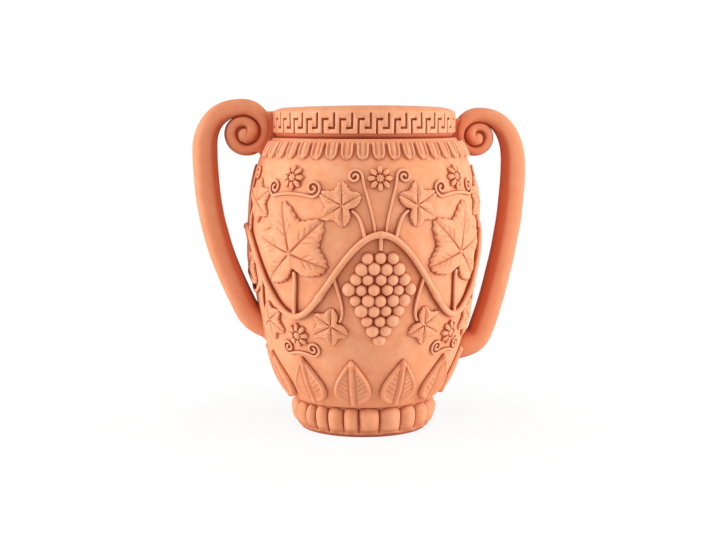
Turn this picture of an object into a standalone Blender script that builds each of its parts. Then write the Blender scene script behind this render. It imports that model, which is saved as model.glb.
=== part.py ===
"""Terracotta amphora planter.

The pot is put together the way a potter would do it: a thrown jar, a collar slipped over its neck,
a gadrooned foot ring under its waist, two rolled handles that end in volutes, and moulded vine
sprigs luted to the wall. Lengths are in metres, +Z is up, the front is -Y, and the origin lies on the
ground under the middle of the jar.
"""

import math
from collections import namedtuple

import bmesh
import bpy
import numpy as np
from mathutils import Matrix, Vector
from mathutils.geometry import interpolate_bezier

# Fits: the slip joint between two pieces, and the joint under a sprig, whose flat facets dip a
# little towards the round wall.
LUTE_GAP = 0.0003
SPRIG_GAP = 0.0005

# Jar wall, from the waist over the belly to the shoulder. The four lengths that shape it say how far
# the wall keeps its direction at the waist, below and above the belly, and at the shoulder.
WAIST_RADIUS = 0.0785
BELLY_RADIUS = 0.1275
BELLY_HEIGHT = 0.232
SHOULDER_RADIUS = 0.103
SHOULDER_HEIGHT = 0.3275
WAIST_LEAN = math.radians(49.0)
WAIST_RUN = 0.037
BELLY_RUN_DOWN = 0.090
BELLY_RUN_UP = 0.048
SHOULDER_LEAN = math.radians(43.0)
SHOULDER_RUN = 0.023

# Jar inside, neck and floor.
JAR_WALL = 0.011
JAR_FLOOR = 0.013
DRAIN_RADIUS = 0.011
NECK_STEP = 0.0085
NECK_WALL = 0.009
NECK_HEIGHT = 0.014
NECK_RADIUS = SHOULDER_RADIUS - NECK_STEP
MOUTH_RADIUS = NECK_RADIUS - NECK_WALL

# Collar: a rounded lip, the raised fret band, and a plain fillet that tapers in below it.
COLLAR_RADIUS = SHOULDER_RADIUS
COLLAR_HEIGHT = 0.0365
LIP_HEIGHT = 0.0095
LIP_RISE = 0.0030
LIP_FLAT = 0.0065
LIP_EDGE = 0.0030
FILLET_HEIGHT = 0.0055
FILLET_STEP = 0.0016
FILLET_TAPER = 0.0045
FILLET_RADIUS = COLLAR_RADIUS - FILLET_TAPER

# Key fret: each repeat has a hook that rises from the lower edge and one that hangs from the upper.
FRET_COUNT = 33
FRET_GROOVE = 0.0021
FRET_DEPTH = 0.0022
FRET_ARM = 0.0062
FRET_REACH = 0.0165
FRET_OFFSET = 0.0128

# Foot ring with its lobes, and the seat in its top where the jar stands.
FOOT_HEIGHT = 0.034
FOOT_RADIUS = 0.0815
FOOT_BASE_RADIUS = 0.074
FOOT_BASE_HEIGHT = 0.006
FOOT_BORE = 0.058
SEAT_DEPTH = 0.008
SEAT_WALL = 0.007
LOBE_COUNT = 32
LOBE_GROOVE = 0.0024

# Handles. STRAP_RADIUS is the coil's half thickness along the side, JOINT_RADIUS where it flares into
# the wall, JOINT_DEPTH how far its middle line runs in there. The four runs shape the line at the
# crown, above and below the knee, and at the joint. Each volute is an even spiral, entered at its top,
# of VOLUTE_TURNS turns.
STRAP_RADIUS = 0.0140
JOINT_RADIUS = 0.0158
JOINT_DEPTH = 0.006
JOINT_RISE = math.radians(18.0)
CROWN_RUN = 0.060
KNEE_RUN_UP = 0.060
KNEE_RUN_DOWN = 0.017
JOINT_RUN = 0.014
ARCH_FULLNESS = 0.88
VOLUTE_TURNS = 1.25
EYE_GAP = 0.0015

# Web between volute and shoulder: it follows the volute from one turn to the other, and its sole lies
# a share of the coil's half thickness below the coil's middle line.
WEB_THICKNESS = 0.010
WEB_FIRST_TURN = 0.14
WEB_LAST_TURN = 0.5
WEB_SOLE_SHARE = 0.8

# The relief's field on the wall runs from the foot to the shoulder. The vine is sized and placed in
# shares of it, and the two rows at its ends in shares of the wall's radius there.
FIELD_HEIGHT = SHOULDER_HEIGHT - FOOT_HEIGHT

# Vine stem: a wave of four crests round the belly.
STEM_RADIUS = 0.0036
STEM_HEIGHT = FOOT_HEIGHT + 0.511 * FIELD_HEIGHT
STEM_SWING = 0.1533 * FIELD_HEIGHT
STEM_CRESTS = 4

# Shoots of the stem: stalks that end short of the sprig they carry, and tendrils that wind up beside
# each crest. A shoot's curve has four corners, each with its angle in degrees from the middle of the
# shoot's own part of the wave and its height as a share of the field; a tendril's last one is where
# its curl begins.
STALK_RADIUS = 0.0022
STALK_TIP_RADIUS = 0.0015
TENDRIL_RADIUS = 0.0016
UPPER_LEAF_STALK = ((7.0, 0.646), (9.0, 0.702), (9.4, 0.7325), (13.5, 0.7485))
LOWER_LEAF_STALK = ((22.5, 0.511), (20.0, 0.4566), (15.8, 0.3697), (20.1, 0.3465))
LARGE_LEAF_STALK = ((0.0, 0.3578), (0.0, 0.4123), (-2.9, 0.4872), (-1.93, 0.5213))
SIDE_LEAF_STALK = ((-23.5, 0.5009), (-14.0, 0.4123), (-0.5, 0.3952), (0.0, 0.4634))
CLUSTER_STALK = ((0.0, 0.6644), (0.0, 0.650), (0.0, 0.630), (0.0, 0.6123))
CREST_TENDRIL = ((2.5, 0.660), (3.0, 0.7359), (7.0, 0.8041))
CURL_ASIDE = math.radians(12.2)
CURL_HEIGHT = FOOT_HEIGHT + 0.8688 * FIELD_HEIGHT
CURL_REACH = 0.0273 * FIELD_HEIGHT
CURL_PITCH = 0.0157 * FIELD_HEIGHT
CURL_TURNS = 1.3

# Sprigs: how far each kind reaches from its middle, and how high its relief stands off the wall.
LARGE_LEAF_REACH = 0.1942 * FIELD_HEIGHT
LARGE_LEAF_RELIEF = 0.0066
SIDE_LEAF_REACH = 0.1227 * FIELD_HEIGHT
SIDE_LEAF_RELIEF = 0.0055
UPPER_LEAF_REACH = 0.0971 * FIELD_HEIGHT
LOWER_LEAF_REACH = 0.0869 * FIELD_HEIGHT
SMALL_LEAF_RELIEF = 0.0048
CLUSTER_WIDTH = 0.1124 * FIELD_HEIGHT
CLUSTER_LENGTH = 0.1704 * FIELD_HEIGHT
GRAPE_RADIUS = 0.0252 * FIELD_HEIGHT
GRAPE_SPACING = 1.72 * GRAPE_RADIUS
GRAPE_OFF_MIDDLE = 0.0034
GRAPE_OFF_EDGE = 0.0004
ROSETTE_REACH = 0.046 * FIELD_HEIGHT
ROSETTE_RELIEF = 0.0050
ROSETTE_PETALS = 8
CALYX_COUNT = 12
CALYX_WIDTH = 0.2369 * WAIST_RADIUS
CALYX_LENGTH = 0.1005 * FIELD_HEIGHT
CALYX_RELIEF = 0.0055
TONGUE_COUNT = 19
TONGUE_WIDTH = 0.1456 * SHOULDER_RADIUS
TONGUE_LENGTH = 0.0681 * FIELD_HEIGHT
TONGUE_RELIEF = 0.0042

# Shapes of the sprigs' edges. A leaf reaches LEAF_BODY_SHARE between its lobes; each lobe, and last the notch
# at the stalk, has the angle of its middle, the reach it adds and its spread, angles in degrees. A vein
# runs from the leaf's middle into each lobe and presses away LEAF_VEIN_SHARE of the relief.
LEAF_BODY_SHARE = 0.6
LEAF_LOBES = (
    (90.0, 0.40, 21.0),
    (30.0, 0.34, 19.0),
    (150.0, 0.34, 19.0),
    (-30.0, 0.22, 21.0),
    (-150.0, 0.22, 21.0),
    (-90.0, -0.30, 22.0),
)
LEAF_VEINS = (90.0, 30.0, 150.0, -30.0, -150.0)
LEAF_VEIN_SHARE = 0.38
CLUSTER_TAPER_SHARE = 0.42
CALYX_TAPER_SHARE = 0.55
CALYX_SLIM_POWER = 0.3
PETAL_NOTCH_SHARE = 0.12
TONGUE_NOTCH_LENGTH_SHARE = 0.78
TONGUE_NOTCH_RELIEF_SHARE = 0.55

# Where the sprigs sit: the height of each one's middle on the wall, and the angle by which the small
# leaves stand to either side of the stem's crests.
LARGE_LEAF_HEIGHT = FOOT_HEIGHT + 0.5894 * FIELD_HEIGHT
LARGE_LEAF_TURN = math.radians(12.0)
SIDE_LEAF_HEIGHT = FOOT_HEIGHT + 0.511 * FIELD_HEIGHT
CLUSTER_HEIGHT = FOOT_HEIGHT + 0.4293 * FIELD_HEIGHT
UPPER_LEAF_HEIGHT = FOOT_HEIGHT + 0.7666 * FIELD_HEIGHT
UPPER_LEAF_ASIDE = math.radians(18.0)
UPPER_LEAF_TURN = math.radians(62.0)
LOWER_LEAF_HEIGHT = FOOT_HEIGHT + 0.3305 * FIELD_HEIGHT
LOWER_LEAF_ASIDE = math.radians(24.5)
LOWER_LEAF_TURN = math.radians(118.0)
UPPER_ROSETTE_HEIGHT = FOOT_HEIGHT + 0.862 * FIELD_HEIGHT
LOWER_ROSETTE_HEIGHT = FOOT_HEIGHT + 0.2862 * FIELD_HEIGHT
CALYX_HEIGHT = FOOT_HEIGHT + 0.1073 * FIELD_HEIGHT
TONGUE_TOP_HEIGHT = FOOT_HEIGHT + 0.9864 * FIELD_HEIGHT

# Mesh fineness.
MERGE_DISTANCE = 0.00001
SCREW_MERGE_DISTANCE = 0.00005
CRISP_EDGE = math.radians(40.0)
TURN_STEPS = 48
LOWER_WALL_STEPS = 18
UPPER_WALL_STEPS = 10
LIP_STEPS = 6
LOBE_COLUMNS = 3
BULGE_STEPS = 6
KNEE_STEPS = 5
STRAP_STEPS = 8
ARCH_STEPS = 7
COIL_STEPS_PER_TURN = 18
COIL_ROUNDNESS = 3
WEB_STEPS = 6
EYE_SEGMENTS = 12
EYE_RINGS = 8
STEM_POINTS = 56
STEM_ROUNDNESS = 1
SHOOT_ROUNDNESS = 0
STALK_STEPS = 5
TENDRIL_STEPS = 5
CURL_STEPS = 10
GRAPE_SHOULDER_SHARE = 0.35
TONGUE_ROWS = 2

RIGHT_ANGLE = math.pi / 2
FULL_TURN = 2 * math.pi

# side is -1 at -X and 1 at +X. The other lengths are shares of the jar's, the collar's or the strap's
# own, so the handles keep to the pot. crown is the strap's farthest middle line from the pot's axis, and knee
# the place where it leans in towards the wall. volute_out and volute_height place the spiral,
# spiral_start is its radius where the arch enters it and spiral_pitch what it loses in one turn.
# coil_start and coil_end are the coil's half thickness there. joint_height is where the lower end
# meets the wall.
Handle = namedtuple(
    "Handle",
    "name side crown_out crown_height knee_out knee_height knee_lean joint_height "
    "volute_out volute_height spiral_start spiral_pitch coil_start coil_end",
)

HANDLES = (
    Handle(
        name="handle_left",
        side=-1,
        crown_out=1.3922 * BELLY_RADIUS,
        crown_height=0.9573 * SHOULDER_HEIGHT,
        knee_out=1.0941 * BELLY_RADIUS,
        knee_height=0.4580 * SHOULDER_HEIGHT,
        knee_lean=math.radians(26.0),
        joint_height=0.3573 * SHOULDER_HEIGHT,
        volute_out=1.2981 * COLLAR_RADIUS,
        volute_height=1.0198 * SHOULDER_HEIGHT,
        spiral_start=1.9429 * STRAP_RADIUS,
        spiral_pitch=1.1786 * STRAP_RADIUS,
        coil_start=0.6571 * STRAP_RADIUS,
        coil_end=0.4571 * STRAP_RADIUS,
    ),
    Handle(
        name="handle_right",
        side=1,
        crown_out=1.3529 * BELLY_RADIUS,
        crown_height=0.9008 * SHOULDER_HEIGHT,
        knee_out=1.0682 * BELLY_RADIUS,
        knee_height=0.3237 * SHOULDER_HEIGHT,
        knee_lean=math.radians(20.0),
        joint_height=0.2550 * SHOULDER_HEIGHT,
        volute_out=1.2583 * COLLAR_RADIUS,
        volute_height=1.0043 * SHOULDER_HEIGHT,
        spiral_start=1.6857 * STRAP_RADIUS,
        spiral_pitch=0.9857 * STRAP_RADIUS,
        coil_start=0.6000 * STRAP_RADIUS,
        coil_end=0.3143 * STRAP_RADIUS,
    ),
)

# A kind of sprig: its outline, the sides and rings of its mesh, the height of its relief, the share of
# that height which stands at the rim, and the angles of its veins in degrees.
Kind = namedtuple("Kind", "outline sides rings relief rim_share veins", defaults=((),))

# A sprig's place on the wall: the angle round the pot from the front towards +X, the height of its
# middle, and how far it is turned from upright.
Place = namedtuple("Place", "azimuth height turn")

JAR_COLOUR = (0.72, 0.29, 0.14, 1.0)
COLLAR_COLOUR = (0.76, 0.32, 0.16, 1.0)
FOOT_COLOUR = (0.68, 0.26, 0.12, 1.0)
HANDLE_COLOUR = (0.70, 0.27, 0.13, 1.0)
RELIEF_COLOUR = (0.74, 0.31, 0.15, 1.0)
CLAY_ROUGHNESS = 0.86


def remove_everything():
    """Empty the scene before building."""
    for old_object in list(bpy.data.objects):
        bpy.data.objects.remove(old_object, do_unlink=True)


def new_collection(name):
    """A collection linked to the scene."""
    collection = bpy.data.collections.new(name)
    bpy.context.scene.collection.children.link(collection)
    return collection


def clay(name, colour):
    """Unglazed fired clay of one colour."""
    material = bpy.data.materials.new(name)
    material.use_nodes = True
    shader = material.node_tree.nodes["Principled BSDF"]
    shader.inputs["Base Color"].default_value = colour
    shader.inputs["Roughness"].default_value = CLAY_ROUGHNESS
    shader.inputs["Metallic"].default_value = 0.0
    material.diffuse_color = colour
    return material


def new_object(name, mesh, collection, material=None):
    """A mesh object in a collection, shaded smooth except along its crisp edges."""
    piece = bpy.data.objects.new(name, mesh)
    collection.objects.link(piece)
    if material is not None:
        mesh.materials.append(material)
    mesh.shade_smooth()
    mesh.set_sharp_from_angle(angle=CRISP_EDGE)
    return piece


def object_from_bmesh(name, builder, collection, material=None):
    """Turn a finished bmesh into an object."""
    mesh = bpy.data.meshes.new(name)
    builder.to_mesh(mesh)
    builder.free()
    return new_object(name, mesh, collection, material)


def mark_cutter(piece):
    """Keep a shaping solid out of the finished object."""
    piece.hide_render = True
    piece.display_type = "WIRE"


def turned_object(name, profile, steps, collection, material=None):
    """A closed or axis-to-axis profile of (radius, height) pairs, turned about Z with a Screw modifier."""
    mesh = bpy.data.meshes.new(name)
    points = [(radius, 0.0, height) for radius, height in profile]
    edges = [(index, index + 1) for index in range(len(points) - 1)]
    starts_on_axis = profile[0][0] == 0.0
    if not starts_on_axis:
        edges.append((len(points) - 1, 0))
    mesh.from_pydata(points, edges, [])
    piece = new_object(name, mesh, collection, material)
    turn = piece.modifiers.new("Turn", "SCREW")
    turn.axis = "Z"
    turn.angle = FULL_TURN
    turn.steps = steps
    turn.render_steps = steps
    turn.use_merge_vertices = True
    turn.merge_threshold = SCREW_MERGE_DISTANCE
    return piece


def add_boolean(piece, operand, operation):
    """Join or cut a piece with another solid."""
    modifier = piece.modifiers.new(operation.title(), "BOOLEAN")
    modifier.operation = operation
    modifier.solver = "EXACT"
    modifier.use_self = True
    modifier.object = operand


def curve_to_mesh_object(curve_object, collection, material=None):
    """Replace a curve object by a closed mesh object of the same name."""
    graph = bpy.context.evaluated_depsgraph_get()
    mesh = bpy.data.meshes.new_from_object(curve_object.evaluated_get(graph))
    name = curve_object.name
    placement = curve_object.matrix_world.copy()
    bpy.data.objects.remove(curve_object, do_unlink=True)
    builder = bmesh.new()
    builder.from_mesh(mesh)
    bmesh.ops.remove_doubles(builder, verts=builder.verts, dist=MERGE_DISTANCE)
    bmesh.ops.recalc_face_normals(builder, faces=builder.faces)
    bmesh.ops.transform(builder, matrix=placement, verts=builder.verts)
    bpy.data.meshes.remove(mesh)
    return object_from_bmesh(name, builder, collection, material)


def coil_object(name, lines, closed, resolution, collection, material=None):
    """Rolled coils of clay as closed meshes, one along each line of (point, half thickness) pairs."""
    curve = bpy.data.curves.new(name, "CURVE")
    curve.dimensions = "3D"
    curve.bevel_depth = 1.0
    curve.bevel_resolution = resolution
    curve.use_fill_caps = not closed
    for line in lines:
        spline = curve.splines.new("POLY")
        spline.points.add(len(line) - 1)
        spline.use_cyclic_u = closed
        for spline_point, (point, radius) in zip(spline.points, line):
            spline_point.co = (*point, 1.0)
            spline_point.radius = radius
    curve_object = bpy.data.objects.new(name, curve)
    collection.objects.link(curve_object)
    return curve_to_mesh_object(curve_object, collection, material)


class Wall:
    """The outside of the jar, and the way flat sprigs are laid on it."""

    def __init__(self):
        waist = Vector((WAIST_RADIUS, FOOT_HEIGHT + LUTE_GAP))
        belly = Vector((BELLY_RADIUS, BELLY_HEIGHT))
        shoulder = Vector((SHOULDER_RADIUS, SHOULDER_HEIGHT))
        flare = Vector((math.sin(WAIST_LEAN), math.cos(WAIST_LEAN))) * WAIST_RUN
        turn_in = Vector((math.sin(SHOULDER_LEAN), -math.cos(SHOULDER_LEAN))) * SHOULDER_RUN
        below = interpolate_bezier(
            waist, waist + flare, belly - Vector((0.0, BELLY_RUN_DOWN)), belly, LOWER_WALL_STEPS
        )
        above = interpolate_bezier(
            belly, belly + Vector((0.0, BELLY_RUN_UP)), shoulder + turn_in, shoulder, UPPER_WALL_STEPS
        )
        self.points = np.array([tuple(point) for point in below + above[1:]])
        tangents = np.gradient(self.points, axis=0)
        tangents /= np.linalg.norm(tangents, axis=1)[:, None]
        self.normals = np.column_stack((tangents[:, 1], -tangents[:, 0]))
        runs = np.linalg.norm(np.diff(self.points, axis=0), axis=1)
        self.lengths = np.concatenate(([0.0], np.cumsum(runs)))

    def offset(self, distance):
        """The wall's (radius, height) points, moved out along their normals."""
        return [tuple(point) for point in self.points + self.normals * distance]

    def radius_at(self, height):
        """The wall's radius at a height."""
        return float(np.interp(height, self.points[:, 1], self.points[:, 0]))

    def length_at(self, height):
        """The distance along the wall from the waist up to a height."""
        return float(np.interp(height, self.points[:, 1], self.lengths))

    def lay(self, azimuth, length, across, off):
        """A point on the wall: so far along it, so far across to the right, and so far off it."""
        section = [
            float(np.interp(length, self.lengths, column))
            for column in (*self.points.T, *self.normals.T)
        ]
        radius, height, normal_out, normal_up = section
        angle = azimuth + across / radius
        distance = radius + normal_out * off
        return Vector((math.sin(angle) * distance, -math.cos(angle) * distance, height + normal_up * off))


def jar_profile(wall):
    """The jar's section, down its outside from the neck and up its inside from the drain hole."""
    underside = FOOT_HEIGHT - SEAT_DEPTH + LUTE_GAP
    floor = underside + JAR_FLOOR
    seat_radius = WAIST_RADIUS - SEAT_WALL
    neck_top = SHOULDER_HEIGHT + NECK_HEIGHT
    outside = [(NECK_RADIUS, neck_top), (NECK_RADIUS, SHOULDER_HEIGHT)]
    outside += wall.offset(0.0)[::-1]
    outside += [
        (seat_radius, FOOT_HEIGHT + LUTE_GAP),
        (seat_radius, underside),
        (DRAIN_RADIUS, underside),
    ]
    corner_radius = seat_radius - JAR_WALL
    inside = [(DRAIN_RADIUS, floor), (corner_radius, floor)]
    inside += [point for point in wall.offset(-JAR_WALL) if point[1] > floor + JAR_WALL][::3]
    inside += [(MOUTH_RADIUS, SHOULDER_HEIGHT), (MOUTH_RADIUS, neck_top)]
    return outside + inside


def make_jar(wall, collection, material):
    """The thrown jar."""
    return turned_object("jar_body", jar_profile(wall), TURN_STEPS, collection, material)


def collar_profile():
    """The collar's section, down its outside from the lip and up its inside."""
    base = SHOULDER_HEIGHT + LUTE_GAP
    top = base + COLLAR_HEIGHT
    band_top = Vector((COLLAR_RADIUS, top - LIP_HEIGHT))
    rim = Vector((MOUTH_RADIUS + LIP_EDGE, top))
    slope = interpolate_bezier(
        rim, rim + Vector((LIP_FLAT, 0.0)), band_top + Vector((0.0, LIP_RISE)), band_top, LIP_STEPS
    )
    lip = [(MOUTH_RADIUS, top - LIP_EDGE)] + [tuple(point) for point in slope]
    rebate = NECK_RADIUS + LUTE_GAP
    rebate_top = SHOULDER_HEIGHT + NECK_HEIGHT + LUTE_GAP
    return lip + [
        (COLLAR_RADIUS, base + FILLET_HEIGHT),
        (COLLAR_RADIUS - FILLET_STEP, base + FILLET_HEIGHT),
        (FILLET_RADIUS, base),
        (rebate, base),
        (rebate, rebate_top),
        (MOUTH_RADIUS, rebate_top),
    ]


def fret_hook(builder, start_height, direction, offset):
    """Add one hooked groove: a leg from an edge of the band, and an arm at the leg's far end.

    direction is 1 for a leg that rises and -1 for one that hangs. The arm points to the right of a
    rising leg and to the left of a hanging one.
    """
    reach = direction * FRET_REACH
    arm = direction * FRET_ARM
    half = FRET_GROOVE / 2
    side = direction * half
    overrun = direction * FRET_DEPTH
    outline = [
        (-side, start_height - overrun),
        (side, start_height - overrun),
        (side, start_height + reach - direction * FRET_GROOVE),
        (arm, start_height + reach - direction * FRET_GROOVE),
        (arm, start_height + reach),
        (-side, start_height + reach),
    ]
    floor = -(COLLAR_RADIUS - FRET_DEPTH)
    corners = [builder.verts.new((offset + across, floor, height)) for across, height in outline]
    face = builder.faces.new(corners)
    grown = bmesh.ops.extrude_face_region(builder, geom=[face])
    grown_corners = [item for item in grown["geom"] if isinstance(item, bmesh.types.BMVert)]
    bmesh.ops.translate(builder, verts=grown_corners, vec=(0.0, -2 * FRET_DEPTH, 0.0))


def make_fret_cutter(collection):
    """The grooves of the key fret, all round the band."""
    base = SHOULDER_HEIGHT + LUTE_GAP
    lower_edge = base + FILLET_HEIGHT
    upper_edge = base + COLLAR_HEIGHT - LIP_HEIGHT
    builder = bmesh.new()
    fret_hook(builder, lower_edge, 1, 0.0)
    hanging_start = len(builder.verts)
    fret_hook(builder, upper_edge, -1, 0.0)
    builder.verts.ensure_lookup_table()
    bmesh.ops.rotate(
        builder,
        verts=builder.verts[hanging_start:],
        cent=(0.0, 0.0, 0.0),
        matrix=Matrix.Rotation(FRET_OFFSET / COLLAR_RADIUS, 3, "Z"),
    )
    bmesh.ops.recalc_face_normals(builder, faces=builder.faces)
    repeat = FULL_TURN / FRET_COUNT
    bmesh.ops.spin(
        builder,
        geom=builder.verts[:] + builder.edges[:] + builder.faces[:],
        cent=(0.0, 0.0, 0.0),
        axis=(0.0, 0.0, 1.0),
        angle=FULL_TURN - repeat,
        steps=FRET_COUNT - 1,
        use_duplicate=True,
    )
    cutter = object_from_bmesh("fret_cutter", builder, collection)
    mark_cutter(cutter)
    return cutter


def make_collar(collection, cutters, material):
    """The collar with its key fret."""
    collar = turned_object("key_collar", collar_profile(), 2 * FRET_COUNT, collection, material)
    add_boolean(collar, make_fret_cutter(cutters), "DIFFERENCE")
    return collar


def make_foot(collection, material):
    """The foot ring: a turned ring whose bulge is pressed into lobes."""
    middle = (FOOT_HEIGHT + FOOT_BASE_HEIGHT) / 2
    half_height = (FOOT_HEIGHT - FOOT_BASE_HEIGHT) / 2
    bulge = []
    for step in range(BULGE_STEPS + 1):
        share = step / BULGE_STEPS
        edge_radius = WAIST_RADIUS + (FOOT_BASE_RADIUS - WAIST_RADIUS) * share
        swell = FOOT_RADIUS - (WAIST_RADIUS + FOOT_BASE_RADIUS) / 2
        height = middle + half_height * math.cos(math.pi * share)
        bulge.append((edge_radius + swell * math.sin(math.pi * share), height))
    seat_radius = WAIST_RADIUS - SEAT_WALL + LUTE_GAP
    seat = FOOT_HEIGHT - SEAT_DEPTH
    profile = bulge + [
        (FOOT_BASE_RADIUS, 0.0),
        (FOOT_BORE, 0.0),
        (FOOT_BORE, seat),
        (seat_radius, seat),
        (seat_radius, FOOT_HEIGHT),
    ]
    builder = bmesh.new()
    lobed = builder.verts.layers.int.new("lobed")
    corners = [builder.verts.new((radius, 0.0, height)) for radius, height in profile]
    for corner in corners[1:BULGE_STEPS]:
        corner[lobed] = 1
    edges = [builder.edges.new(pair) for pair in zip(corners, corners[1:] + corners[:1])]
    bmesh.ops.spin(
        builder,
        geom=edges,
        cent=(0.0, 0.0, 0.0),
        axis=(0.0, 0.0, 1.0),
        angle=FULL_TURN,
        steps=LOBE_COUNT * LOBE_COLUMNS,
        use_merge=True,
    )
    bmesh.ops.remove_doubles(builder, verts=builder.verts, dist=MERGE_DISTANCE)
    bmesh.ops.recalc_face_normals(builder, faces=builder.faces)
    lobe = FULL_TURN / LOBE_COUNT
    for vert in builder.verts:
        place = math.atan2(vert.co.y, vert.co.x) / lobe
        in_groove = abs(place - round(place)) < 1 / (2 * LOBE_COLUMNS)
        if vert[lobed] and in_groove:
            pressed = 1 - LOBE_GROOVE / vert.co.xy.length
            vert.co.x *= pressed
            vert.co.y *= pressed
    return object_from_bmesh("foot_ring", builder, collection, material)


def spiral_radius(handle, turns):
    """The volute's middle line: its distance from the eye after so many turns."""
    return handle.spiral_start - handle.spiral_pitch * turns


def coil_radius(handle, turns):
    """The coil's half thickness after so many turns of the volute."""
    left = 1 - turns / VOLUTE_TURNS
    return handle.coil_end + (handle.coil_start - handle.coil_end) * left * left


def spiral_point(handle, turns):
    """A point of the volute's middle line, as (distance out, height)."""
    angle = RIGHT_ANGLE + FULL_TURN * turns
    radius = spiral_radius(handle, turns)
    return (
        handle.volute_out + radius * math.cos(angle),
        handle.volute_height + radius * math.sin(angle),
    )


def handle_line(handle, wall):
    """The handle's middle line from the wall to the volute's eye, as (out, height, half thickness)."""
    joint = Vector((wall.radius_at(handle.joint_height) - JOINT_DEPTH, handle.joint_height))
    lead_out = Vector((math.cos(JOINT_RISE), math.sin(JOINT_RISE)))
    knee = Vector((handle.knee_out, handle.knee_height))
    lean = Vector((math.sin(handle.knee_lean), math.cos(handle.knee_lean)))
    crown = Vector((handle.crown_out, handle.crown_height))
    lower = interpolate_bezier(
        joint, joint + lead_out * JOINT_RUN, knee - lean * KNEE_RUN_DOWN, knee, KNEE_STEPS
    )
    upper = interpolate_bezier(
        knee, knee + lean * KNEE_RUN_UP, crown - Vector((0.0, CROWN_RUN)), crown, STRAP_STEPS
    )
    line = []
    for step, point in enumerate(lower[:-1]):
        flare = (JOINT_RADIUS - STRAP_RADIUS) * (1 - step / (KNEE_STEPS - 1))
        line.append((point.x, point.y, STRAP_RADIUS + flare))
    line += [(point.x, point.y, STRAP_RADIUS) for point in upper]
    arch_width = handle.crown_out - handle.volute_out
    arch_rise = handle.volute_height + handle.spiral_start - handle.crown_height
    for step in range(1, ARCH_STEPS):
        share = step / ARCH_STEPS
        angle = RIGHT_ANGLE * share
        thickness = STRAP_RADIUS + (handle.coil_start - STRAP_RADIUS) * share
        line.append(
            (
                handle.volute_out + arch_width * math.cos(angle) ** ARCH_FULLNESS,
                handle.crown_height + arch_rise * math.sin(angle) ** ARCH_FULLNESS,
                thickness,
            )
        )
    coil_steps = round(COIL_STEPS_PER_TURN * VOLUTE_TURNS)
    for step in range(coil_steps + 1):
        turns = VOLUTE_TURNS * step / coil_steps
        line.append((*spiral_point(handle, turns), coil_radius(handle, turns)))
    return line


def make_eye(handle, collection):
    """The pellet in the middle of the volute, sized to the room that the coil leaves."""

    def room(turns):
        return spiral_radius(handle, turns) - coil_radius(handle, turns) - EYE_GAP

    towards_wall, below, outwards, above = room(0.25), room(0.5), room(0.75), room(1.0)
    builder = bmesh.new()
    bmesh.ops.create_uvsphere(builder, u_segments=EYE_SEGMENTS, v_segments=EYE_RINGS, radius=1.0)
    size = ((outwards + towards_wall) / 2, handle.coil_end, (above + below) / 2)
    middle = (
        handle.side * (handle.volute_out + (outwards - towards_wall) / 2),
        0.0,
        handle.volute_height + (above - below) / 2,
    )
    bmesh.ops.scale(builder, vec=size, verts=builder.verts)
    bmesh.ops.translate(builder, vec=middle, verts=builder.verts)
    eye = object_from_bmesh(handle.name + "_eye", builder, collection)
    mark_cutter(eye)
    return eye


def make_web(handle, collection):
    """The web of clay that fills the corner between the volute and the shoulder."""
    outline = []
    for step in range(WEB_STEPS + 1):
        turns = WEB_FIRST_TURN + (WEB_LAST_TURN - WEB_FIRST_TURN) * step / WEB_STEPS
        outline.append(spiral_point(handle, turns))
    sole = outline[-1][1] - WEB_SOLE_SHARE * coil_radius(handle, WEB_LAST_TURN)
    inner = SHOULDER_RADIUS - JAR_WALL
    outline += [(handle.volute_out, sole), (inner, sole), (inner, outline[0][1])]
    curve = bpy.data.curves.new(handle.name + "_web", "CURVE")
    curve.dimensions = "2D"
    curve.fill_mode = "BOTH"
    curve.extrude = WEB_THICKNESS / 2
    spline = curve.splines.new("POLY")
    spline.points.add(len(outline) - 1)
    spline.use_cyclic_u = True
    for spline_point, (out, height) in zip(spline.points, outline):
        spline_point.co = (handle.side * out, height, 0.0, 1.0)
    flat_web = bpy.data.objects.new(handle.name + "_web", curve)
    flat_web.rotation_euler = (RIGHT_ANGLE, 0.0, 0.0)
    collection.objects.link(flat_web)
    bpy.context.view_layer.update()
    web = curve_to_mesh_object(flat_web, collection)
    mark_cutter(web)
    return web


def make_pot_envelope(wall, collection):
    """The outside of jar and collar, a joint's width larger, which shapes the handles' seats."""
    top = SHOULDER_HEIGHT + COLLAR_HEIGHT + LUTE_GAP * 2
    profile = [(0.0, top), (COLLAR_RADIUS + LUTE_GAP, top), (COLLAR_RADIUS + LUTE_GAP, SHOULDER_HEIGHT)]
    profile += wall.offset(LUTE_GAP)[::-1]
    profile += [(0.0, wall.points[0][1])]
    envelope = turned_object("pot_envelope", profile, TURN_STEPS, collection)
    mark_cutter(envelope)
    return envelope


def make_handle(handle, wall, envelope, collection, cutters, material):
    """One rolled handle: the coil, its web and its eye in one piece, seated on the pot."""
    line = [
        (Vector((handle.side * out, 0.0, height)), thickness)
        for out, height, thickness in handle_line(handle, wall)
    ]
    piece = coil_object(handle.name, [line], False, COIL_ROUNDNESS, collection, material)
    add_boolean(piece, make_web(handle, cutters), "UNION")
    add_boolean(piece, make_eye(handle, cutters), "UNION")
    add_boolean(piece, envelope, "DIFFERENCE")
    return piece


def shoot_line(wall, corners, azimuth, sign, steps, radii):
    """A shoot's curve on the wall, as (point, half thickness) pairs; sign -1 mirrors it."""
    flat = [Vector((math.radians(degrees), FOOT_HEIGHT + share * FIELD_HEIGHT)) for degrees, share in corners]
    line = []
    for step, spot in enumerate(interpolate_bezier(*flat, steps)):
        radius = radii[0] + (radii[1] - radii[0]) * step / (steps - 1)
        length = wall.length_at(spot.y)
        line.append((wall.lay(azimuth + sign * spot.x, length, 0.0, radius + SPRIG_GAP), radius))
    return line


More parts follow.
